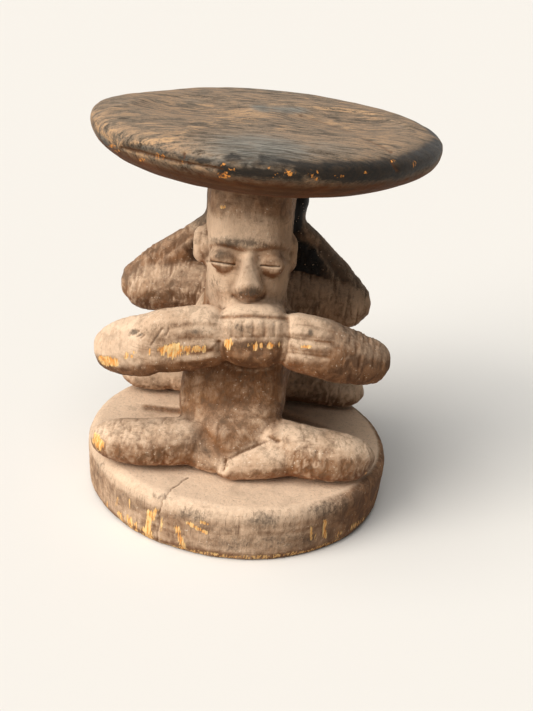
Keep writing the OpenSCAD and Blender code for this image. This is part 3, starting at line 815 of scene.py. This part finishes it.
class STOOL_OT_stage(bpy.types.Operator):
    """Lays the floor and hangs the lamps"""

    bl_idname = "stool.stage"
    bl_label = "Stage"
    bl_options = {"REGISTER", "UNDO"}

    def execute(self, context):
        floor = add_object("floor", bpy.data.meshes.new("floor"))
        with shaping(floor.data) as shape:
            bmesh.ops.create_grid(shape, x_segments=1, y_segments=1, size=12)
        floor.data.materials.append(floor_paint(linear("#e6e4e0"), linear("#8d7c6c")))
        for name, azimuth, height, strength, soft, colour in (
            ("window", -54, 27, 2.9, 42, "#fef6ec"),
            ("sky", -38, 66, 2.5, 55, "#f7f6f4"),
        ):
            data = bpy.data.lights.new(name, "SUN")
            data.energy = strength
            data.angle = math.radians(soft)
            data.color = linear(colour)
            turn = (math.radians(90 - height), 0, math.radians(azimuth))
            add_object(name, data).rotation_euler = turn
        world = bpy.data.worlds.new("studio")
        world.use_nodes = True
        tree = world.node_tree
        tree.nodes.clear()
        light, shown = (
            node(tree, "Background", {"Color": linear(colour), "Strength": strength})
            for colour, strength in (("#f2f0ec", 0.13), ("#ecebe8", 1.0))
        )
        node(tree, "OutputWorld", {"Surface": node(tree, "MixShader", (seen_ray(tree), light, shown))})
        context.scene.world = world
        context.scene.view_settings.view_transform = "Standard"
        return {"FINISHED"}


def carve_seat(seat):
    """Dishes, the split along the rim, and the worn and burnt places."""
    x, y, z = seat.co.T
    top = ramp(z, SEAT_TOP - 26 * MM, SEAT_TOP - 4 * MM)
    # The left dish runs out through the rim at the back, and the front right of the rim is thin.
    back_left = ramp(-x, 20 * MM, 150 * MM) * ramp(y, 0, 120 * MM)
    seat.co[:, 2] -= 5 * MM * back_left * ramp(z, SEAT_Z + 20 * MM, SEAT_TOP - 4 * MM)
    front_right = ramp(x, 20 * MM, 140 * MM) * ramp(-y, -20 * MM, 100 * MM)
    lower = 1 - ramp(z, SEAT_Z + 6 * MM, SEAT_Z + 40 * MM)
    seat.co[:, 2] += 3 * MM * front_right * lower * ramp(np.hypot(x, y), 100 * MM, 150 * MM)
    seat.measure()
    flow = noise(seat.co, (50, 8, 20), 13)
    seat.push(MM * (0.6 * noise(seat.co, 45, 11) + 0.3 * noise(seat.co, 17, 12) - 0.5))
    seat.push(0.2 * MM * flow * top)
    seat.measure()

    split = [(122, 147.5), (138, 151.5), (152, 155.5), (166, 159), (180, 162.2), (197, 165.3), (222, 169.5)]
    seat.stroke(-2.4, split, 1.1)
    seat.stroke(0.6, [(u, v - 4) for u, v in split], 3.0)
    near_edge = [
        (122, 145), (137, 142), (164, 141), (180, 138), (192, 128), (209, 121), (230, 116), (252, 113)]
    far_edge = [(94, 120), (110, 109), (126, 102.5), (145, 99), (184, 103), (210, 100)]
    right_edge = [(285, 104), (333, 107), (381, 115), (412, 126)]
    groove = [(301, 115), (328, 123.6), (357, 134.5), (381, 145.4), (391, 151.5)]
    nicks = [(184, 154), (184.5, 158)], [(392, 161), (397, 170)]
    seat.stroke(1.2, near_edge, 4.0)
    seat.stroke(0.9, far_edge, 3.0)
    seat.stroke(1.0, right_edge, 3.5)
    seat.stroke(-1.2, groove, 1.8)
    seat.stroke(-1.6, nicks[0], 1.6)
    seat.stroke(-2.0, nicks[1], 2.0)
    seat.measure()

    seat.streak(
        "worn",
        ([(94, 121), (98, 131), (110, 140), (122, 146)], 3.0, 0.9),
        ([(122, 145), (137, 143), (158, 142), (170, 140)], 3.6, 0.9),
        ([(170, 140), (182, 134), (192, 128), (206, 122)], 2.4, 0.45),
        (right_edge, 2.5, 0.5), ([(335, 157.5), (352, 160), (375, 162.5)], 2.0, 0.7),
        ([(388, 160), (405, 160)], 2.0, 0.7), ([(417, 156), (424, 152.5)], 2.0, 0.7),
        ([(268, 104.5), (300, 105), (340, 110), (374, 114)], 2.0, 0.75),
    )
    seat.dab(
        "worn",
        ((241, 116), (33, 8), -4, 1.1), ((214, 124), (22, 6), -8, 0.605), ((196, 107), (22, 5), -8, 0.55),
        ((171, 111), (22, 7), -20, 0.385), ((150, 144), (20, 5), 0, 0.66), ((110, 128), (12, 8), 35, 0.44),
        ((282, 128), (7, 3), 5, 0.77), ((310, 117), (6, 3), 30, 0.55), ((345, 125), (16, 4), 15, 0.44),
        ((205, 96), (26, 4), -3, 0.33), ((271, 107), (6, 3), 0, 0.66), ((285, 93), (10, 3), 5, 0.55),
        ((375, 118), (22, 5), 12, 0.385), ((238, 137), (8, 3), 0, 0.33), ((330, 99), (30, 3), 6, 0.44),
        ((184, 152), (22, 3), 8, 0.33), ((236, 168), (12, 5), 10, 0.495), ((292, 174), (12, 4), 0, 0.495),
    )
    seat.dab(
        "soot",
        ((258, 152), (70, 22), 4, 0.95), ((215, 160), (40, 12), 8, 0.7), ((262, 108), (14, 5), 8, 1.0),
        ((285, 109), (30, 5), 3, 0.9), ((330, 148), (50, 14), 12, 0.5), ((125, 100), (30, 5), -12, 0.6),
        ((104, 140), (10, 3), 40, 0.9), ((150, 149), (26, 4), 12, 0.7), ((290, 92), (50, 5), 3, 0.7),
        ((195, 101), (24, 4), 4, 0.45), ((140, 125), (30, 14), -8, 0.15), ((400, 130), (30, 18), 30, 0.35),
        ((190, 158), (40, 8), 10, 0.6), ((300, 172), (50, 5), 0, 0.5),
    )
    # The burnished band grows from a grey smear at the middle to black at the right.
    seat.streak(
        "gloss",
        ([(229, 159), (250, 161), (276, 164), (308, 167.5)], 10.0, 0.52),
        ([(262, 161), (285, 164), (308, 167)], 8.0, 0.80),
        ([(300, 168), (327, 171), (345, 171.5)], 9.5, 1.2),
        ([(327, 171), (364, 171.5), (397, 168), (425, 157.5), (440, 146)], 10.5, 1.6),
        ([(222, 170), (250, 173.5), (276, 175.5), (300, 176.5)], 7.0, 0.95),
        ([(124, 144), (150, 150), (180, 157), (205, 161), (229, 165)], 4.0, 0.62),
        ([(91, 119), (92.5, 129), (99, 140), (110, 149)], 3.0, 0.8),
        ([(150, 160), (190, 171), (230, 178)], 5.0, 0.3),
    )
    # It fades out round the right end, out of the camera's sight.
    x, y, z = seat.co.T
    right_end = ramp(np.cos(np.arctan2(y, x) - 0.3), 0.90, 0.98) * ramp(np.hypot(x, y), 164 * MM, 180 * MM)
    seat.mark("gloss", 1.2 * right_end * ramp(z, SEAT_Z + 12 * MM, SEAT_Z + 24 * MM))
    seat.chip(
        (157.5, 156, 1.6, 3.0, 0.8), (162.8, 156.5, 1.6, 3.2, 0.8), (142, 160, 3.0, 2.2, 0.5),
        (182, 163, 1.5, 2.4, 0.5), (224, 175, 6.0, 3.0, 0.8), (223, 165, 3.0, 2.4, 0.4),
        (111, 146, 5.0, 1.8, 0.45), (117, 151, 3.0, 1.6, 0.45), (289, 173, 7.0, 4.0, 0.35),
        (313, 173, 7.0, 4.0, 0.35), (272, 168, 5.0, 2.0, 0.3), (340, 176, 8.0, 2.0, 0.3),
        (366, 173, 2.0, 1.8, 0.6), (393, 161, 2.6, 1.8, 0.5), (414, 164, 2.6, 3.4, 0.45),
        (232, 170, 4.0, 3.0, 0.45), (277, 176, 5.0, 2.6, 0.45), (316, 178, 6.0, 2.6, 0.4),
    )


def carve_drum(drum):
    """The worn side of the drum, with its crack and its chipped lower edge."""
    x, y, z = drum.co.T
    far = np.hypot(x, y)
    side = ramp(far, BASE_R - 14 * MM, BASE_R - 6 * MM)
    # The trenches grow shallow towards their outer ends, and their edges are round.
    sunk = np.clip(BASE_TOP - z, 0, TRENCH_DEPTH) * (far < BASE_R - 18 * MM) * (z > BASE_TOP - TRENCH_DEPTH)
    drum.co[:, 2] += sunk * (0.30 + 0.70 * ramp(np.abs(x - FIGURE_X), 75 * MM, 135 * MM))
    drum.relax(16, (far < BASE_R - 16 * MM) * (drum.co[:, 2] > BASE_TOP - TRENCH_DEPTH))
    fibre = noise(drum.co, (3.5, 3.5, 30), 23)
    across = noise(drum.co, (40, 40, 4.5), 24)
    drum.push(MM * (0.7 * noise(drum.co, 50, 21) + 0.35 * noise(drum.co, 16, 22) - 0.8))
    drum.push(0.30 * MM * (fibre + across) * side)
    drum.measure()
    crack = [(188.3, 477.6), (183, 480), (178.4, 484.5), (172, 488), (166.5, 494.8), (162.4, 500),
             (161, 507.4), (158.2, 514), (159.3, 523.5), (157, 532), (157.3, 541.9)]
    drum.stroke(-1.3, crack, 0.8)
    drum.mark("dust", 0.25 + 0.65 * ramp(drum.co[:, 2], BASE_TOP - 22 * MM, BASE_TOP - 4 * MM))
    drum.streak(
        "raw",
        ([(107, 502), (107, 512)], 1.38, 0.63), ([(118, 498), (116, 506)], 1.15, 0.54),
        ([(129, 500), (129, 509)], 1.38, 0.54), ([(119, 513), (123, 520)], 2.3, 0.72),
        ([(128, 517), (131, 526)], 2.76, 0.81), ([(136, 524), (136, 532)], 2.07, 0.72),
        ([(150, 513), (148, 534)], 3.45, 0.81), ([(156, 510), (152, 520)], 2.3, 0.72),
        ([(144, 530), (150, 538)], 3.45, 0.81), ([(162, 518), (160, 540)], 1.61, 0.405),
        ([(177, 528), (183, 548)], 2.53, 0.855), ([(188, 523), (206, 533)], 1.84, 0.81),
        ([(201, 522), (208, 524)], 1.61, 0.72), ([(311.5, 528), (311, 539)], 1.15, 0.81),
        ([(325, 521), (324.5, 537)], 1.725, 0.9), ([(316, 532), (315, 540)], 0.92, 0.45),
        ([(352, 528), (365, 520)], 2.99, 0.54), ([(337, 536), (340, 532)], 2.3, 0.54),
        ([(92, 490), (97, 497)], 1.38, 0.45),
    )
    edge = [(100, 507), (120, 523), (140, 536), (158, 544), (190, 551), (230, 557), (270, 557), (310, 551),
            (350, 536), (375, 515)]
    drum.streak("raw", (edge, 2.0, 0.5))
    # A little dark wood all round the side, and painted shade in brown that grows towards the right, away
    # from the light; the brown line along the ledge behind the left leg is painted shade too.
    drum.mark("dark_wood_and_painted_shade", (0.20 + 0.76 * ramp(drum.co[:, 0], 50 * MM, 170 * MM)) * side)
    drum.streak("dark_wood_and_painted_shade", ([(146, 407.5), (163, 409.5), (181, 411.5)], 4.5, 0.75))
    for middle, radii, turn, amount in (
        ((215, 529), (22, 4), 3, 0.4), ((264, 520), (18, 9), 0, 0.6), ((128, 500), (20, 9), 25, 0.38),
        ((162, 497), (12, 5), 10, 0.45), ((100, 470), (6, 14), 0, 0.4), ((330, 508), (26, 9), -14, 0.55),
        ((290, 540), (40, 8), -4, 0.45), ((190, 515), (20, 8), 6, 0.5), ((235, 543), (34, 8), 0, 0.45),
    ):
        drum.mark("soot", amount * drum.area(middle, radii, turn=turn, edge=0.7))


def carve_limbs(figure, settings, arms, legs):
    """Blade cuts across arms and legs, which run mostly sideways."""
    ribs(figure, arms, 4.4, settings.rib_depth, 31)
    ribs(figure, legs, 6, settings.rib_depth * 0.8, 32)
    figure.measure()


def shape_block(whole):
    """Rounds the block off, and less so on noses; the front head leans a little to its right."""
    whole.relax(10, 1 - 0.35 * whole.on("nose", soft=1))
    front_head = ramp(CORE_BACK - whole.co[:, 1], 0, 20 * MM) * ramp(whole.co[:, 2], *LEAN_Z)
    whole.co[:, 0] -= 3 * MM * front_head
    whole.measure()


def refine_figure(figure, way):
    """Gives the face and the hands a finer grid, and the whole skin its hewn surface."""
    fine = figure.on("head", "nose", "eye", "mouth", "hand", soft=2) > 0.3
    outer = (way * figure.co[:, 1] > FINE_BEYOND) & (way * figure.normal[:, 1] > 0.2)
    figure.refine(fine & outer)
    figure.relax(2, np.abs(figure.co[:, 1] - CORE_BACK) > 4 * MM)
    hand_hewn(figure)


def carve_eye(figure, slit, lid, under_lid):
    """A closed eye: two lids that meet at a slit, each with a shallow groove round it."""
    figure.stroke(-0.6, lid, 2.4)
    figure.stroke(-0.2, under_lid, 2.6)
    figure.stroke(0.2, [(u, v + 2.2) for u, v in slit], 1.3)
    figure.measure()
    figure.stroke(-1.3, slit, 0.9)
    # The slit is painted near black: painted shade in the cut.
    figure.streak("painted_deep_shade", (slit, 0.8, 0.7))
    figure.measure()


def carve_face(figure):
    """The front figure's brow, eyes, nose and ears."""
    brow = [(206, 243), (220, 241), (234, 243), (248, 246), (262, 245), (276, 244), (292, 247)]
    figure.stroke(1.8, brow, 6.5)
    under_brow = [(206, 251), (214, 247.5), (226, 247), (236, 250.5), (247, 253), (258, 252), (270, 249.5),
                  (282, 250.5), (292, 255)]
    figure.stroke(-1.3, under_brow, 2.6)
    figure.measure()
    for eye in ((222, 265), (273, 268)):
        figure.push(-1.3 * MM * figure.spot(eye, (15, 9)))
        figure.relax(40, 0.95 * figure.spot(eye, (21, 15)))
    # Under each eye the lid is raised, and dust is painted on it: painted light that lifts the shade under
    # the lid.
    for under_lid in ((224, 268.5), (271, 272)):
        figure.push(1.9 * MM * figure.spot(under_lid, (14, 6.5)))
        figure.mark("dust", 0.5 * figure.spot(under_lid, (14, 6.5)))
    figure.measure()
    carve_eye(figure, [(207, 261.0), (214, 262.0), (225, 263.6), (235, 264.8)],
              [(207, 256), (211, 251), (218, 248.5), (226, 249.5), (232, 254), (237, 260)],
              [(208, 267), (213, 271.5), (220, 275), (227, 275.5), (233, 272), (237, 267)])
    carve_eye(figure, [(261, 265.4), (270, 266.4), (280, 266.6)],
              [(258, 262), (262, 257), (269, 254), (277, 254), (284, 257), (288, 262)],
              [(259, 269), (264, 274.5), (271, 277.5), (278, 277), (284, 272)])
    for under_lid in ((225, 274.5), (272, 278)):
        figure.relax(14, 0.9 * figure.spot(under_lid, (14, 5)))
    figure.stroke(1.4, [(246.5, 257), (247, 272), (247.5, 284)], 4.5)
    for side in ([(240, 262), (238, 270), (234.5, 279), (231, 287), (230.5, 294)],
                 [(254, 260), (256, 270), (260, 279), (264.5, 287), (266, 294)]):
        figure.stroke(-0.8, side, 2.6)
    figure.stroke(0.4, [(238, 288), (249, 290), (260, 288)], 4.5)
    figure.stroke(-2.2, [(233, 297), (239, 300), (249, 301.5), (259, 300), (265, 297)], 2.2)
    figure.stroke(-1.2, [(201, 232), (199, 242), (199.5, 251), (203, 258)], 2.0)
    figure.stroke(0.8, [(196, 232), (194, 242), (195, 252), (199, 260)], 2.0)
    figure.measure()


def carve_mouth(figure, settings):
    """The front figure's lips and its two rows of teeth."""
    tooth = settings.tooth_depth / MM
    lip = [(214, 309), (225, 306), (240, 304.5), (256, 304.5), (271, 306), (286, 310)]
    figure.stroke(0.8, lip, 5.5)
    figure.stroke(-1.5, [(214, 317.5), (228, 316.4), (250, 316), (270, 316.6), (287, 318.5)], 2.8)
    figure.stroke(-1.6, [(219, 343), (219.5, 352), (224, 362)], 2.4)
    figure.stroke(-1.8, [(288, 322), (288.5, 335), (287, 350), (284, 361)], 2.2)
    figure.stroke(0.9, [(221, 356), (226, 364), (238, 369.5), (255, 371), (270, 368.5), (282, 361)], 2.2)
    figure.measure()
    for u in (231.6, 242.4, 253.0, 264.4, 274.8):
        figure.stroke(-tooth, [(u, 323), (u, 336.5)], 1.8)
        figure.stroke(0.35 * tooth, [(u + 3.6, 323.5), (u + 3.6, 336)], 2.4)
    for u in (231.8, 241.8, 252.8, 263.0, 273.6):
        figure.stroke(-0.5 * tooth, [(u, 353), (u + 0.4, 361)], 2.0)
    for share, row, width in (
        (0.45, [(224, 321.6), (254, 320.4), (284, 320.8)], 1.8),
        (0.5, [(223, 338.4), (254, 337.6), (285, 337.2)], 2.0),
        (0.35, [(224, 351.4), (254, 351.6), (282, 350.6)], 2.0),
        (0.4, [(227, 361.5), (240, 364.4), (256, 365.2), (272, 363.3), (281, 358)], 1.8),
    ):
        figure.stroke(-share * tooth, row, width)
    figure.measure()


def carve_hands(figure):
    """Fingers of the front figure's hands, each a ridge between two cuts."""
    left = figure.on("hand_left", "forearm_left")
    for depth, cut in (
        (0.60, [(177, 327.0), (195, 325.6), (215, 326.5)]),
        (0.72, [(179, 340), (193, 338.8), (212, 339.4)]),
        (0.84, [(184, 355.5), (197, 355.0), (211, 352)]),
    ):
        figure.stroke(-depth, cut, 3.0, left)
    for ridge in ([(168, 322.0), (190, 320.5), (212, 321)], [(176, 333), (194, 332), (213, 332.5)],
                  [(180, 346.5), (194, 346), (212, 345.5)], [(180, 361), (194, 361), (208, 357.5)]):
        figure.stroke(0.5, ridge, 4.0, left)
    right = figure.on("hand_right", "forearm_right")
    for depth, cut in (
        (0.78, [(294, 325.5), (302, 325.4), (318, 328.6), (334, 332.6)]),
        (0.78, [(289, 337.2), (300, 338.2), (313, 341), (331, 343)]),
        (0.78, [(290, 352.6), (308, 354.2), (328, 357.4)]),
        (0.42, [(333, 333), (335, 342), (332, 352)]),
    ):
        figure.stroke(-depth, cut, 3.0, right)
    for ridge in ([(293, 317), (308, 318), (324, 322)], [(292, 331), (310, 333), (328, 337)],
                  [(291, 345), (308, 347), (328, 349.5)], [(292, 360), (308, 362), (328, 364)]):
        figure.stroke(0.7, ridge, 4.0, right)
    figure.measure()
    for edge in ([(301.7, 323.3), (318, 326.5), (336, 331)], [(288, 335.6), (311.2, 339.4), (333, 341.4)],
                 [(288.5, 350.8), (328.5, 355.8)]):
        figure.stroke(0.4, edge, 1.2, right)
    for scratch in ([(162.5, 328.5), (157, 336), (151, 345.5)], [(129, 335), (134, 330), (139, 331)],
                    [(133, 334.5), (138, 331.5)], [(137, 336.5), (141, 333.5)], [(141, 338), (144, 335.5)],
                    [(166, 336), (169, 329)]):
        figure.stroke(-0.8, scratch, 1.0, left)


def paint_front_figure(figure):
    """Smears, chips and thick dust on the front figure, each where it shows."""
    torso = figure.on("trunk", soft=60)
    figure.mark("bare", 0.62 * torso)
    under = ramp(-figure.normal[:, 2], 0.1, 0.8)
    figure.mark("bare", 0.35 * under)
    # Painted shade in brown on the right arm, away from the light, most where it does not face up and at its
    # outer end, and under the left forearm and hand.
    right_arm = figure.on("forearm_right", "upper_arm_right", "hand_right", soft=6)
    low = ramp(0.55 - figure.normal[:, 2], 0.0, 0.8)
    figure.mark("dark_wood_and_painted_shade", right_arm * (0.58 + 0.62 * low) * ramp(figure.u, 316, 336))
    figure.mark("dark_wood_and_painted_shade", 0.62 * right_arm * low * ramp(figure.u, 292, 318))
    left_arm = figure.on("forearm_left", "hand_left", soft=6)
    figure.mark("dark_wood_and_painted_shade", 0.95 * left_arm * ramp(-figure.normal[:, 2], -0.15, 0.7))
    figure.mark("dark_wood_and_painted_shade", 0.80 * figure.on("mouth", soft=3) * ramp(figure.v, 333, 347))
    figure.mark("bare", 0.35 * figure.on("leg", soft=4) * ramp(-figure.normal[:, 1], 0.2, 0.9))
    # Painted shade in brown where the trunk faces down under the arms.
    figure.mark("dark_wood_and_painted_shade", 0.55 * torso * ramp(-figure.normal[:, 2], -0.3, 0.4))
    # Dark wood in brown; in the eye sockets, under the brow, in the creases of belly and legs, under the left
    # hand, on the left elbow, the right forearm and the column's left side it is painted shade.
    figure.dab(
        "dark_wood_and_painted_shade",
        ((203, 448), (20, 28), -25, 0.62), ((250, 294), (18, 9), 2, 1.0), ((172, 352), (60, 6), 2, 0.35),
        ((275, 425), (8, 22), 12, 0.6), ((150, 452), (44, 9), 2, 0.35), ((345, 462), (30, 12), 8, 0.3),
        ((222, 254), (19, 8), 4, 0.5), ((274, 256), (18, 8), 4, 0.5), ((270, 246), (24, 6), 8, 0.62),
        ((225, 245), (22, 6), 0, 0.5), ((247, 272), (8, 17), 0, 0.42),
        ((254, 331), (36, 8), 0, 0.42), ((245, 463), (24, 12), -25, 0.4), ((214, 290), (12, 18), 0, 0.35),
        ((352, 332), (10, 26), 25, 0.4), ((110, 338), (26, 14), -12, 0.36), ((206, 216), (5, 26), 0, 0.3),
    )
    # Painted shade along the lip groove.
    figure.streak("dark_wood_and_painted_shade", ([(222, 317.5), (250, 316), (287, 318.5)], 2.6, 0.75))
    figure.mark("dust", 0.16 * figure.on("mouth", "hand", "forearm_left", soft=4))
    # The column under the seat is painted in the seat's shadow: the head's extra dust stops there, and brown
    # shade comes in.
    near_seat = ramp(figure.co[:, 2], *SEAT_SHADOW_Z)
    head = figure.on("head", "nose", "ear", soft=60) * ramp(-figure.co[:, 1], 30 * MM, 80 * MM)
    figure.mark("dust", 0.70 * head * (1 - near_seat))
    figure.mark("dark_wood_and_painted_shade", 0.42 * head * near_seat)
    figure.streak("dust", ([(212, 308), (230, 305), (256, 304), (284, 309)], 5.0, 0.7))
    figure.mark("dust", 0.8 * figure.area((245, 228), (46, 12), edge=0.5))
    # Grey-black smears; those in the left eye socket, the lip groove, the gaps of the right hand's fingers
    # and the mouth's left corner, and on the column under the seat, are painted shade.
    figure.dab(
        "soot",
        ((237, 242.4), (36, 6.4), 4, 0.74), ((220, 255), (8, 6), 0, 0.7), ((250, 292), (15, 7), 2, 0.7),
        ((197, 331.5), (16, 4), -2, 0.6), ((310.5, 333), (3, 5), 10, 0.9),
        ((327, 348.5), (3, 3), 0, 0.6), ((134, 332), (6, 3), -10, 0.95), ((140.5, 335), (4, 1.5), -35, 0.9),
        ((157, 337), (9.5, 1.4), -58, 0.7), ((237.5, 325), (3.5, 3.5), 0, 0.55), ((259, 324), (4, 3), 0, 0.3),
        ((252, 346), (32, 6), 0, 0.5), ((250, 317), (38, 2.0), 0, 0.45), ((242, 329), (22, 7), 0, 0.5),
        ((212, 345), (5, 12), 0, 0.3), ((214, 284), (10, 10), 0, 0.4), ((110, 420), (14, 5), -20, 0.3),
        ((160, 420), (26, 5), 0, 0.25),
        ((200, 455), (22, 20), 30, 0.35), ((320, 455), (44, 12), 12, 0.2), ((150, 446), (40, 12), 3, 0.22),
        ((322, 340), (12, 10), 0, 0.25), ((240, 211), (30, 8), 0, 0.25), ((262, 222), (20, 5), 0, 0.22),
    )
    figure.chip(
        (101, 358, 2.5, 2.6, 1.0), (109, 361, 7.5, 4.4, 1.0), (115, 362, 3.5, 4.4, 1.0),
        (126, 355.5, 3.2, 3.4, 0.62), (131.5, 356.5, 1.6, 1.8, 0.8), (134.5, 352.5, 1.6, 1.8, 0.6),
        (149.6, 351.6, 1.1, 3.4, 0.9), (162, 350, 4.5, 5.0, 0.8), (172, 351, 6.5, 7.0, 1.0),
        (178.5, 350, 4.0, 6.0, 0.95), (188, 350, 4.0, 4.4, 0.85), (197, 349, 5.0, 3.2, 0.85),
        (204, 349, 2.6, 3.4, 0.85), (228.5, 343.8, 3.8, 5.2, 1.0), (254.5, 346, 3.0, 4.6, 0.85),
        (248, 345, 2.0, 2.0, 0.55), (261.5, 345.4, 1.9, 2.6, 0.95), (270.5, 345.3, 4.4, 3.2, 0.9),
        (279, 344.4, 0.9, 2.6, 0.8), (306, 346.8, 5.4, 1.7, 0.85), (97, 440, 4.0, 5.5, 1.0),
        (100, 445, 4.5, 5.0, 1.0), (95, 435.5, 1.8, 3.0, 0.9), (372.5, 471, 1.5, 3.4, 1.0),
        (366.3, 473.5, 1.5, 1.3, 0.9), (223, 207, 2.8, 2.0, 0.62),
    )


def carve_front_figure(figure, settings):
    """Everything that the camera sees on the front figure."""
    refine_figure(figure, -1)
    arms = 1.2 * figure.on("forearm_right", "upper_arm") + 0.45 * figure.on("forearm_left")
    carve_limbs(figure, settings, arms, figure.on("leg"))
    carve_face(figure)
    carve_mouth(figure, settings)
    carve_hands(figure)
    # The left foot is broad, and the belly runs into it without a line.
    figure.push(3.0 * MM * figure.spot((206, 470), (15, 9)))
    figure.measure()
    figure.relax(30, figure.line([(203, 414), (209, 427), (214, 440), (219, 452), (222, 462)], 9.0))
    figure.stroke(-1.2, [(279, 441), (270, 440), (259, 444), (239, 453), (224, 461)], 1.6)
    figure.stroke(-3.0, [(225, 459), (223, 470)], 1.6)
    figure.stroke(-2.5, [(269, 437), (278, 441.5)], 1.8)
    paint_front_figure(figure)


def carve_back_figure(figure, settings):
    """The back figure's face, fingers and toes, placed in millimetres on its own front."""
    refine_figure(figure, 1)
    carve_limbs(figure, settings, figure.on("forearm", "upper_arm"), figure.on("leg"))
    eye_z, lips_z, eye_x = 312.0, 251.0, 25.0
    low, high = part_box("back_head")
    head_side = (high.x - low.x) / 2 / MM
    figure.stroke(1.3, [(-42, eye_z + 21), (0, eye_z + 17), (42, eye_z + 21)], 5.0)
    under_brow = [(-43, 320), (-36, 325), (-24, 327), (-12, 323), (0, 319), (12, 323), (24, 327), (36, 325),
                  (43, 320)]
    figure.stroke(-2.0, under_brow, 2.4)
    figure.measure()
    for side in (-1, 1):
        slit = [(side * (eye_x - 14), eye_z - 2), (side * eye_x, eye_z), (side * (eye_x + 14), eye_z - 1)]
        lid = [(side * (eye_x + a), eye_z + b) for a, b in ((-14, 3), (-9, 9), (0, 12), (9, 10), (15, 4))]
        under = [(side * (eye_x + a), eye_z + b) for a, b in ((-13, -5), (-7, -10), (0, -12), (9, -9))]
        carve_eye(figure, slit, lid, under)
        figure.stroke(-0.9, [(side * 5, 315), (side * 9, 300), (side * 14, 287)], 2.2)
        for finger in range(4):
            u, v = side * (head_side + 2), 312 + 9 * finger
            figure.stroke(-1.6, [(u, v), (u + side * 26, v - 5)], 1.5, figure.on("hand"))
        for toe in range(5):
            cut = [(side * (4 + 4 * toe), 68), (side * (2 + 5 * toe), 84)]
            figure.stroke(-1.2, cut, 1.0, figure.on("foot"))
    figure.stroke(-1.6, [(-20, lips_z), (0, lips_z + 1), (20, lips_z)], 1.3)
    figure.stroke(-1.2, [(-13, 279), (0, 276), (13, 279)], 1.8)
    away = ramp(figure.co[:, 1] - CORE_BACK, 5 * MM, 50 * MM)
    figure.mark("bare", 0.25 * away * figure.on("trunk", "upper_arm", "forearm", soft=20))
    figure.mark("bare", 0.35 * ramp(-figure.normal[:, 2], 0.1, 0.8))
    # The hands and what lies round them are smeared grey-black: painted shade under the seat.
    figure.mark("soot", 0.85 * figure.on("hand", soft=180))
    # The cut between head, upper arm and forearm is painted near black: painted shade, for no light and no
    # dust get in.
    x, y, z = figure.co.T
    inner = ramp(-figure.normal[:, 1], 0.2, 0.7) * ramp(y, 14 * MM, 17 * MM) * ramp(-y, -58 * MM, -50 * MM)
    elbow = np.where(x > FIGURE_X, 106 * MM, 84 * MM)
    within = 1 - ramp(np.abs(x - FIGURE_X) - elbow, -30 * MM, 4 * MM)
    inner = inner * ramp(z, 236 * MM, 250 * MM) * within
    figure.mark("painted_deep_shade", inner * (1 - figure.on("upper_arm", soft=1)))
    # The left fist under the seat is painted near black as well: painted shadow of the seat.
    figure.mark("painted_deep_shade", 1.6 * figure.on("hand_left", soft=3) * ramp(z, 320 * MM, 336 * MM))
    # The front of the left forearm, away from the light, is smeared grey-black: painted shade.
    figure.mark("soot", 0.6 * figure.on("forearm_left", soft=3) * ramp(-figure.normal[:, 1], -0.2, 0.3))
    figure.mark("dust", 0.35 * figure.on("leg_left", "upper_arm_left", soft=4))
    figure.mark("dust", 0.6 * figure.on("leg_right", soft=4))
    figure.mark("dark_wood_and_painted_shade", 0.6 * figure.on("forearm_right", soft=8))
    figure.mark("dark_wood_and_painted_shade", 0.2 * figure.on("upper_arm_right", soft=8))


class STOOL_PT_panel(bpy.types.Panel):
    """The stool's pieces, sizes and colours"""

    bl_label = "Caryatid Stool"
    bl_idname = "STOOL_PT_panel"
    bl_space_type = "VIEW_3D"
    bl_region_type = "UI"
    bl_category = "Stool"

    def draw(self, context):
        for operator in OPERATORS:
            self.layout.operator(operator.bl_idname)
        for name in StoolSettings.__annotations__:
            self.layout.prop(context.scene.stool, name)


OPERATORS = (STOOL_OT_camera, STOOL_OT_seat, STOOL_OT_base, STOOL_OT_figures, STOOL_OT_stage)
CLASSES = (StoolSettings, *OPERATORS, STOOL_PT_panel)


def register():
    for cls in CLASSES:
        bpy.utils.register_class(cls)
    bpy.types.Scene.stool = bpy.props.PointerProperty(type=StoolSettings)


def unregister():
    del bpy.types.Scene.stool
    for cls in reversed(CLASSES):
        bpy.utils.unregister_class(cls)


def main():
    register()
    bpy.ops.stool.camera()
    bpy.ops.stool.seat()
    bpy.ops.stool.base()
    bpy.ops.stool.figures()
    bpy.ops.stool.stage()


if __name__ == "__main__":
    main()
